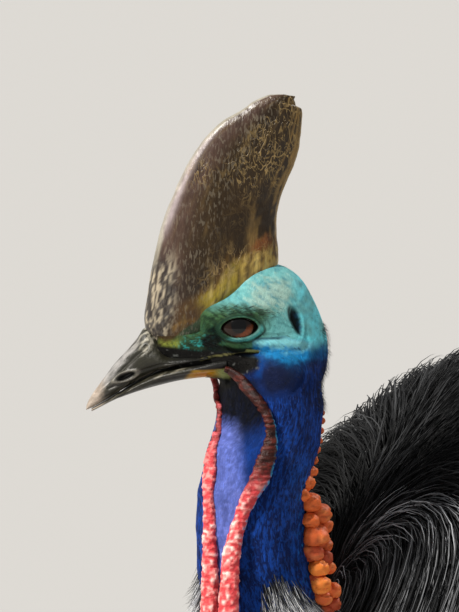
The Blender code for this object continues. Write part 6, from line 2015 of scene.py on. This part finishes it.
class Finishes:
    """Every material of the bird and of the studio."""

    def __init__(self, shared: SharedEffects) -> None:
        """Builds them from the shared effects."""
        self.shared = shared
        self.skin = self._skin()
        self.casque = self._casque()
        self.bill = self._bill()
        self.eye = self._eye()
        self.wattle = self._flesh("wattle_flesh", 900.0, 0.0006, 0.36)
        self.caruncle = self._flesh("caruncle_flesh", 600.0, 0.0003, 0.50)
        self.plumage = self._plumage()
        self.under = self._flesh("skin_under_coat", 300.0, 0.0006, 0.8)
        self.leg = self._leg()
        self.claw = self._horn("claw_horn", linear(0.17, 0.155, 0.145), 0.36)
        self.quill = self._horn("quill_horn", linear(0.035, 0.035, 0.04), 0.62)
        self.floor = self._floor()

    def _painted(self, hand: Nodes, vector: bpy.types.NodeSocket, coarse: float, fine: float, strength: float) -> bpy.types.Node:
        """The vertex paint, mottled."""
        paint = Coordinates(hand).attribute("paint", colour=True)
        return hand.group(self.shared.mottle, Colour=paint, Vector=vector, Coarse=coarse, Fine=fine, Strength=strength)

    def _skin(self) -> bpy.types.Material:
        """Bare skin: fine stipple on the head, fine upright wrinkles on the neck, with painted shade in the wrinkles'
        grooves and painted highlights on their crests.
        """
        made, hand, shader = new_material("bare_skin")
        place = Coordinates(hand)
        spot = place.object()
        mottle = self._painted(hand, spot, 130.0, 1500.0, 0.34)
        pleat = place.attribute("pleat")
        thin = hand.noise(hand.stretched(place.uv(), (126 / 1.5, 300 / 4.5, 1.0)), 1.0, 1.5, 0.5, 0.8)
        broad = hand.noise(hand.stretched(place.uv(), (126 / 4.2, 300 / 20.0, 1.0)), 1.0, 1.5, 0.5, 0.6)
        lines = hand.maths("ADD", hand.maths("MULTIPLY", thin, 0.58), hand.maths("MULTIPLY", broad, 0.42))
        # Painted shade darkens the wrinkles' grooves and painted highlights lighten their crests.
        groove_shade = hand.maths("MULTIPLY", hand.spread(lines, 0.44, 0.51, 1.0, 0.0), pleat)
        dark = hand.mix(1.0, mottle.outputs["Colour"], (0.34, 0.36, 0.44), "MULTIPLY")
        deep = hand.mix(groove_shade, mottle.outputs["Colour"], dark)
        crest = hand.maths("MULTIPLY", hand.spread(lines, 0.51, 0.58), pleat)
        light = hand.mix(1.0, deep, (1.5, 1.65, 1.7), "MULTIPLY")
        hand.put(hand.mix(crest, deep, light), shader.inputs["Base Color"])
        wet = place.attribute("wet")
        hand.put(hand.maths("SUBTRACT", 0.56, hand.maths("MULTIPLY", wet, 0.36)), shader.inputs["Roughness"])
        shader.inputs["Specular IOR Level"].default_value = 0.11
        shader.inputs["Subsurface Weight"].default_value = 0.06
        shader.inputs["Subsurface Radius"].default_value = (0.004, 0.003, 0.003)
        pebbles = hand.group(self.shared.scales, Vector=spot, Scale=1000.0)
        wrinkle = hand.maths("MULTIPLY", lines, pleat)
        bump(hand, shader, (wrinkle, 0.0020), (pebbles.outputs["Height"], 0.00034))
        return made

    def _casque(self) -> bpy.types.Material:
        """Horn with streaks up its height, fine grey flecks and a net of ochre scratches."""
        made, hand, shader = new_material("casque_horn")
        place = Coordinates(hand)
        spot = place.object()
        upright = hand.stretched(spot, (1.0, 1.0, 0.22))
        mottle = self._painted(hand, upright, 180.0, 900.0, 0.50)
        net = hand.group(self.shared.worm_lines, Vector=hand.stretched(spot, (1.0, 1.0, 0.55)), Scale=105.0, Width=0.030)
        thin = hand.group(self.shared.worm_lines, Vector=hand.stretched(spot, (1.0, 1.0, 0.35)), Scale=240.0, Width=0.035)
        both = hand.maths("MAXIMUM", net.outputs["Mask"], hand.maths("MULTIPLY", thin.outputs["Mask"], 0.7))
        marks = hand.maths("MULTIPLY", both, place.attribute("net"))
        colour = hand.mix(hand.maths("MULTIPLY", marks, 0.85), mottle.outputs["Colour"], linear(0.60, 0.50, 0.31))
        grain = hand.noise(hand.stretched(spot, (1.0, 1.0, 0.30)), 640.0, 1.5, 0.5)
        flecks = hand.maths("MULTIPLY", hand.spread(grain, 0.54, 0.61), place.attribute("fleck"))
        colour = hand.mix(hand.maths("MULTIPLY", flecks, 0.45), colour, linear(0.50, 0.465, 0.40))
        hand.put(colour, shader.inputs["Base Color"])
        hand.put(hand.maths("ADD", 0.30, hand.maths("MULTIPLY", marks, 0.25)), shader.inputs["Roughness"])
        shader.inputs["Specular IOR Level"].default_value = 0.3
        shader.inputs["Coat Weight"].default_value = 0.14
        shader.inputs["Coat Roughness"].default_value = 0.25
        bump(hand, shader, (hand.noise(upright, 420.0, 4.0), 0.0006), (marks, 0.00025))
        return made

    def _bill(self) -> bpy.types.Material:
        """Smooth dark horn with fine streaks along the bill."""
        made, hand, shader = new_material("bill_horn")
        spot = Coordinates(hand).object()
        mottle = self._painted(hand, spot, 160.0, 1100.0, 0.55)
        hand.put(mottle.outputs["Colour"], shader.inputs["Base Color"])
        shader.inputs["Roughness"].default_value = 0.42
        shader.inputs["Specular IOR Level"].default_value = 0.40
        shader.inputs["Coat Weight"].default_value = 0.10
        shader.inputs["Coat Roughness"].default_value = 0.30
        bump(hand, shader, (hand.noise(spot, 700.0, 4.0), 0.0005))
        return made

    def _eye(self) -> bpy.types.Material:
        """A reddish brown iris, brighter below, round a black pupil; its top is darkened as painted shade from the
        upper lid.
        """
        made, hand, shader = new_material("eye_gloss")
        place = Coordinates(hand)
        ahead, above = place.attribute("ahead"), place.attribute("above")
        off_u, off_v = hand.maths("SUBTRACT", ahead, 1.0), hand.maths("SUBTRACT", above, 3.4)
        radius = hand.maths("SQRT", hand.maths("ADD", hand.maths("MULTIPLY", off_u, off_u), hand.maths("MULTIPLY", off_v, off_v)))
        angle = hand.maths("ARCTAN2", off_v, off_u)
        polar = hand.add("CombineXYZ")
        hand.put(hand.maths("MULTIPLY", hand.maths("SINE", angle), 9.0), polar.inputs[0])
        hand.put(hand.maths("MULTIPLY", hand.maths("COSINE", angle), 9.0), polar.inputs[1])
        hand.put(hand.maths("MULTIPLY", radius, 0.25), polar.inputs[2])
        rays = hand.noise(polar.outputs[0], 1.6, 4.0, 0.6)
        low = hand.maths("ADD", hand.maths("MULTIPLY", off_v, -1.0), hand.maths("MULTIPLY", off_u, -0.8))
        warm = hand.mix(hand.spread(low, 4.0, 11.0), linear(0.12, 0.065, 0.03), linear(0.50, 0.235, 0.05))
        iris = hand.mix(hand.maths("MULTIPLY", hand.spread(rays, 0.35, 0.70), 0.5), warm, linear(0.12, 0.05, 0.02))
        # The iris's top fades towards black as painted shade from the upper lid.
        iris = hand.mix(hand.spread(above, 1.0, 6.5, 0.0, 0.92), iris, (0.003, 0.002, 0.001))
        inner = hand.mix(hand.spread(radius, 5.4, 6.1, 1.0, 0.0), iris, (0.001, 0.001, 0.001))
        rim = hand.mix(hand.spread(radius, 9.6, 11.6), inner, (0.010, 0.006, 0.004))
        hand.put(rim, shader.inputs["Base Color"])
        shader.inputs["Roughness"].default_value = 0.10
        shader.inputs["Specular IOR Level"].default_value = 0.4
        return made

    def _flesh(self, name: str, grain: float, depth: float, roughness: float) -> bpy.types.Material:
        """Painted flesh with a fine grain."""
        made, hand, shader = new_material(name)
        spot = Coordinates(hand).object()
        mottle = self._painted(hand, spot, 200.0, 1400.0, 0.26)
        hand.put(mottle.outputs["Colour"], shader.inputs["Base Color"])
        shader.inputs["Roughness"].default_value = roughness
        shader.inputs["Specular IOR Level"].default_value = 0.20
        shader.inputs["Subsurface Weight"].default_value = 0.08
        shader.inputs["Subsurface Radius"].default_value = (0.006, 0.002, 0.001)
        bump(hand, shader, (hand.noise(spot, grain, 3.0), depth))
        return made

    def _plumage(self) -> bpy.types.Material:
        """Black, hair-like feathers with a cool gloss; the paint that it reads holds painted sheen and shade."""
        made, hand, shader = new_material("plumage")
        paint = Coordinates(hand).attribute("paint", colour=True)
        hand.put(paint, shader.inputs["Base Color"])
        shader.inputs["Roughness"].default_value = 0.46
        shader.inputs["Specular IOR Level"].default_value = 0.13
        return made

    def _leg(self) -> bpy.types.Material:
        """Grey-brown scales."""
        made, hand, shader = new_material("leg_scales")
        spot = Coordinates(hand).object()
        mottle = self._painted(hand, spot, 90.0, 800.0, 0.4)
        cells = hand.group(self.shared.scales, Vector=spot, Scale=210.0)
        colour = hand.mix(hand.maths("MULTIPLY", cells.outputs["Gap"], 0.6), mottle.outputs["Colour"], linear(0.10, 0.10, 0.09))
        hand.put(colour, shader.inputs["Base Color"])
        shader.inputs["Roughness"].default_value = 0.55
        bump(hand, shader, (cells.outputs["Height"], 0.0007))
        return made

    def _horn(self, name: str, colour: Colour, roughness: float) -> bpy.types.Material:
        """Plain horn, mottled."""
        made, hand, shader = new_material(name)
        spot = Coordinates(hand).object()
        mottle = hand.group(self.shared.mottle, Colour=colour, Vector=spot, Coarse=120.0, Fine=900.0, Strength=0.4)
        hand.put(mottle.outputs["Colour"], shader.inputs["Base Color"])
        shader.inputs["Roughness"].default_value = roughness
        bump(hand, shader, (hand.noise(spot, 500.0, 3.0), 0.0004))
        return made

    def _floor(self) -> bpy.types.Material:
        """A plain pale floor."""
        made, _, shader = new_material("studio_floor")
        shader.inputs["Base Color"].default_value = (0.42, 0.415, 0.405, 1)
        shader.inputs["Roughness"].default_value = 0.9
        return made


# Studio


@dataclass
class Studio:
    """A plain pale floor, soft light from all sides and the photograph's camera.

    Args:
        stance: where the head lies.
        azimuth: of the camera, in degrees: 0 looks along +Y.
        elevation: of the camera over the horizon, in degrees.
        distance: from the camera to what it looks at.
        scale: metres to one pixel of the photograph at the head.
        aim: (forward, up) of the frame's middle from the eyes.
    """

    stance: Stance
    azimuth: float = 40.0
    elevation: float = 6.0
    distance: float = 4.0
    scale: float = 0.00075
    aim: tuple[float, float] = (0.0079, 0.0150)

    def way(self, azimuth: float, elevation: float) -> Vector:
        """The direction from the bird to a place at an azimuth and an elevation, in degrees."""
        a, e = math.radians(azimuth), math.radians(elevation)
        return Vector((math.sin(a) * math.cos(e), -math.cos(a) * math.cos(e), math.sin(e)))

    def camera(self) -> bpy.types.Object:
        """A long lens whose frame is as tall at the head as the photograph's."""
        data = bpy.data.cameras.new("camera")
        data.sensor_width = 36
        data.lens = data.sensor_width * self.distance / (PHOTO_HEIGHT * self.scale)
        data.clip_start, data.clip_end = 0.1, 400
        made = bpy.data.objects.new("camera", data)
        bpy.context.scene.collection.objects.link(made)
        target = Vector(self.stance.head(in_head(*self.aim, 0.0)))
        back = self.way(self.azimuth, self.elevation)
        made.location = target + back * self.distance
        made.rotation_mode = "QUATERNION"
        made.rotation_quaternion = (-back).to_track_quat("-Z", "Y")
        bpy.context.scene.camera = made
        return made

    def sun(self, name: str, azimuth: float, elevation: float, strength: float, angle: float, colour: Colour) -> bpy.types.Object:
        """A broad soft light from one direction."""
        data = bpy.data.lights.new(name, "SUN")
        data.energy, data.angle, data.color = strength, math.radians(angle), colour
        made = bpy.data.objects.new(name, data)
        bpy.context.scene.collection.objects.link(made)
        made.rotation_mode = "QUATERNION"
        made.rotation_quaternion = self.way(azimuth, elevation).to_track_quat("Z", "Y")
        return made

    def build(self, finishes: Finishes) -> None:
        """Makes floor, lights, surroundings and camera."""
        mesh = bpy.data.meshes.new("studio_floor")
        reach = 150.0
        mesh.from_pydata([(-reach, -reach, 0), (reach, -reach, 0), (reach, reach, 0), (-reach, reach, 0)], [], [(0, 1, 2, 3)])
        mesh.materials.append(finishes.floor)
        floor = bpy.data.objects.new("studio_floor", mesh)
        bpy.context.scene.collection.objects.link(floor)
        self.sun("key_light", self.azimuth - 58, 43, 5.0, 8, (1.0, 0.96, 0.90))
        self.sun("rim_light", self.azimuth + 130, 42, 1.5, 18, (1.0, 0.98, 0.95))
        world = bpy.data.worlds.new("studio")
        world.use_nodes = True
        world.node_tree.nodes["Background"].inputs[0].default_value = (0.97, 0.98, 1.0, 1)
        world.node_tree.nodes["Background"].inputs[1].default_value = 0.30
        bpy.context.scene.world = world
        bpy.context.scene.view_settings.view_transform = "Standard"
        self.camera()


NEAR_WATTLE = (
    (10, -30, 20, 3.6, 2.5),
    (1.5, -36, 25, 4.6, 2.8),
    (-4, -41.5, 29, 4.6, 3),
    (-11, -48, 32, 4.4, 3),
    (-16.5, -55, 35, 4, 3),
    (-21.5, -65, 38, 3.6, 2.8),
    (-23, -76, 40, 4, 3),
    (-21.7, -86, 42, 5.6, 3.4),
    (-18, -98, 46, 7, 4),
    (-14, -109, 50, 7.2, 4.2),
    (-7, -121.5, 55, 6.2, 4.4),
    (-1, -136, 59, 5.4, 4.4),
    (4, -152, 62, 5.8, 4.8),
    (7, -170, 64, 7, 5.2),
    (8, -190, 66, 7.4, 5.6),
    (9, -212, 67.5, 8, 6),
    (10, -234, 68.5, 9, 6.4),
    (10.5, -252, 69, 8.4, 6),
    (11, -263, 69, 4.6, 3.6),
)
FAR_WATTLE = (
    (20, -40, -14, 3, 2.5),
    (17, -50, -6, 3.2, 2.6),
    (14, -62, 12, 2.4, 2.2),
    (14.5, -76, 22, 2.8, 2.6),
    (17.5, -86, 27, 4, 3.2),
    (21, -96, 32, 6, 4),
    (22, -108, 38, 6.4, 4.2),
    (22.3, -122, 43, 4.6, 4),
    (22.6, -140, 47, 5, 4.4),
    (22.6, -156, 48.5, 5.6, 4.8),
    (22.4, -172, 49, 6.6, 5.2),
    (22.2, -192, 49.5, 7.2, 5.6),
    (22.6, -214, 49.5, 8, 6),
    (23, -236, 49.5, 8.6, 6.2),
    (23, -252, 49.5, 7.6, 5.6),
    (23, -262, 49.5, 4.4, 3.4),
)


class Cassowary:
    """The whole bird: every piece, dressed and tied to the frame."""

    def __init__(self, finishes: Finishes) -> None:
        """Reads the stance and sets out the forms."""
        self.finishes = finishes
        self.stance = Stance.read()
        self.skin = HeadSkin(self.stance)
        self.form, self.leg = BodyForm(), LegForm()

    def dress(self, piece: bpy.types.Object, finish: bpy.types.Material, slot: str, *nodes: str) -> bpy.types.Object:
        """Gives a piece its finish and ties it to the frame.

        Args:
            piece: the object.
            finish: its material.
            slot: the record's material slot; not used.
            nodes: the solids that it stands for.

        Returns:
            The piece.
        """
        piece.data.materials.append(finish)
        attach(piece, BODY)
        if nodes:
            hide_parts(*nodes)
        return piece

    def build_head(self) -> None:
        """Head and neck with all that grows on them."""
        done = self.finishes
        self.dress(self.skin.build(), done.skin, "head_skin", "head", "neck")
        self.dress(Casque(self.stance).build(), done.casque, "casque_horn", "casque")
        bill = Bill(self.stance)
        self.dress(bill.half(True), done.bill, "bill_horn", "bill_upper")
        self.dress(bill.half(False), done.bill, "bill_horn", "bill_lower")
        for side, stations in ((Side.LEFT, NEAR_WATTLE), (Side.RIGHT, FAR_WATTLE)):
            self.dress(Eye(self.stance, side).build(), done.eye, "eye_gloss", f"eye_{side.word}")
            self.dress(Wattle(self.skin, side, stations).build(), done.wattle, "wattle_skin", f"wattle_{side.word}")
        self.dress(Caruncles(self.skin).build(), done.caruncle, "caruncle_skin", "nape_caruncles")

    def build_body(self) -> None:
        """The body's skin, legs, claws and wings."""
        done, lower = self.finishes, Lower(self.stance, self.form, self.leg)
        self.dress(lower.body_skin(), done.under, "plumage", "torso", "tail", "thigh_left", "thigh_right")
        for side in Side:
            toes = [toe[0] for toe in self.leg.toes]
            named = [f"{part}_{side.word}" for part in ("shank", "tarsus", *(f"toe_{toe}" for toe in toes))]
            self.dress(lower.leg_skin(side), done.leg, "leg_scale", *named)
            for number, toe in enumerate(toes):
                self.dress(lower.claw(side, number), done.claw, "claw_horn", f"claw_{toe}_{side.word}")
            self.dress(lower.wing(side), done.quill, "quill_horn", f"wing_{side.word}")

    def build_coat(self) -> None:
        """Every piece of the coat."""
        coat = Coat(self.stance, self.form, self.leg, self.skin)
        pieces = [coat.patch(patch) for patch in PATCHES]
        pieces += [coat.thigh(side) for side in Side]
        pieces += [coat.collar(), coat.bristles()]
        for piece in pieces:
            self.dress(piece, self.finishes.plumage, "plumage")


def main() -> None:
    """Builds the bird and its studio round the frame."""
    logging.basicConfig(level=logging.INFO, format="%(name)s: %(message)s")
    for thing in list(bpy.data.objects):
        bpy.data.objects.remove(thing, do_unlink=True)
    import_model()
    finishes = Finishes(SharedEffects())
    bird = Cassowary(finishes)
    bird.build_head()
    bird.build_body()
    bird.build_coat()
    Studio(bird.stance).build(finishes)


if __name__ == "__main__":
    main()
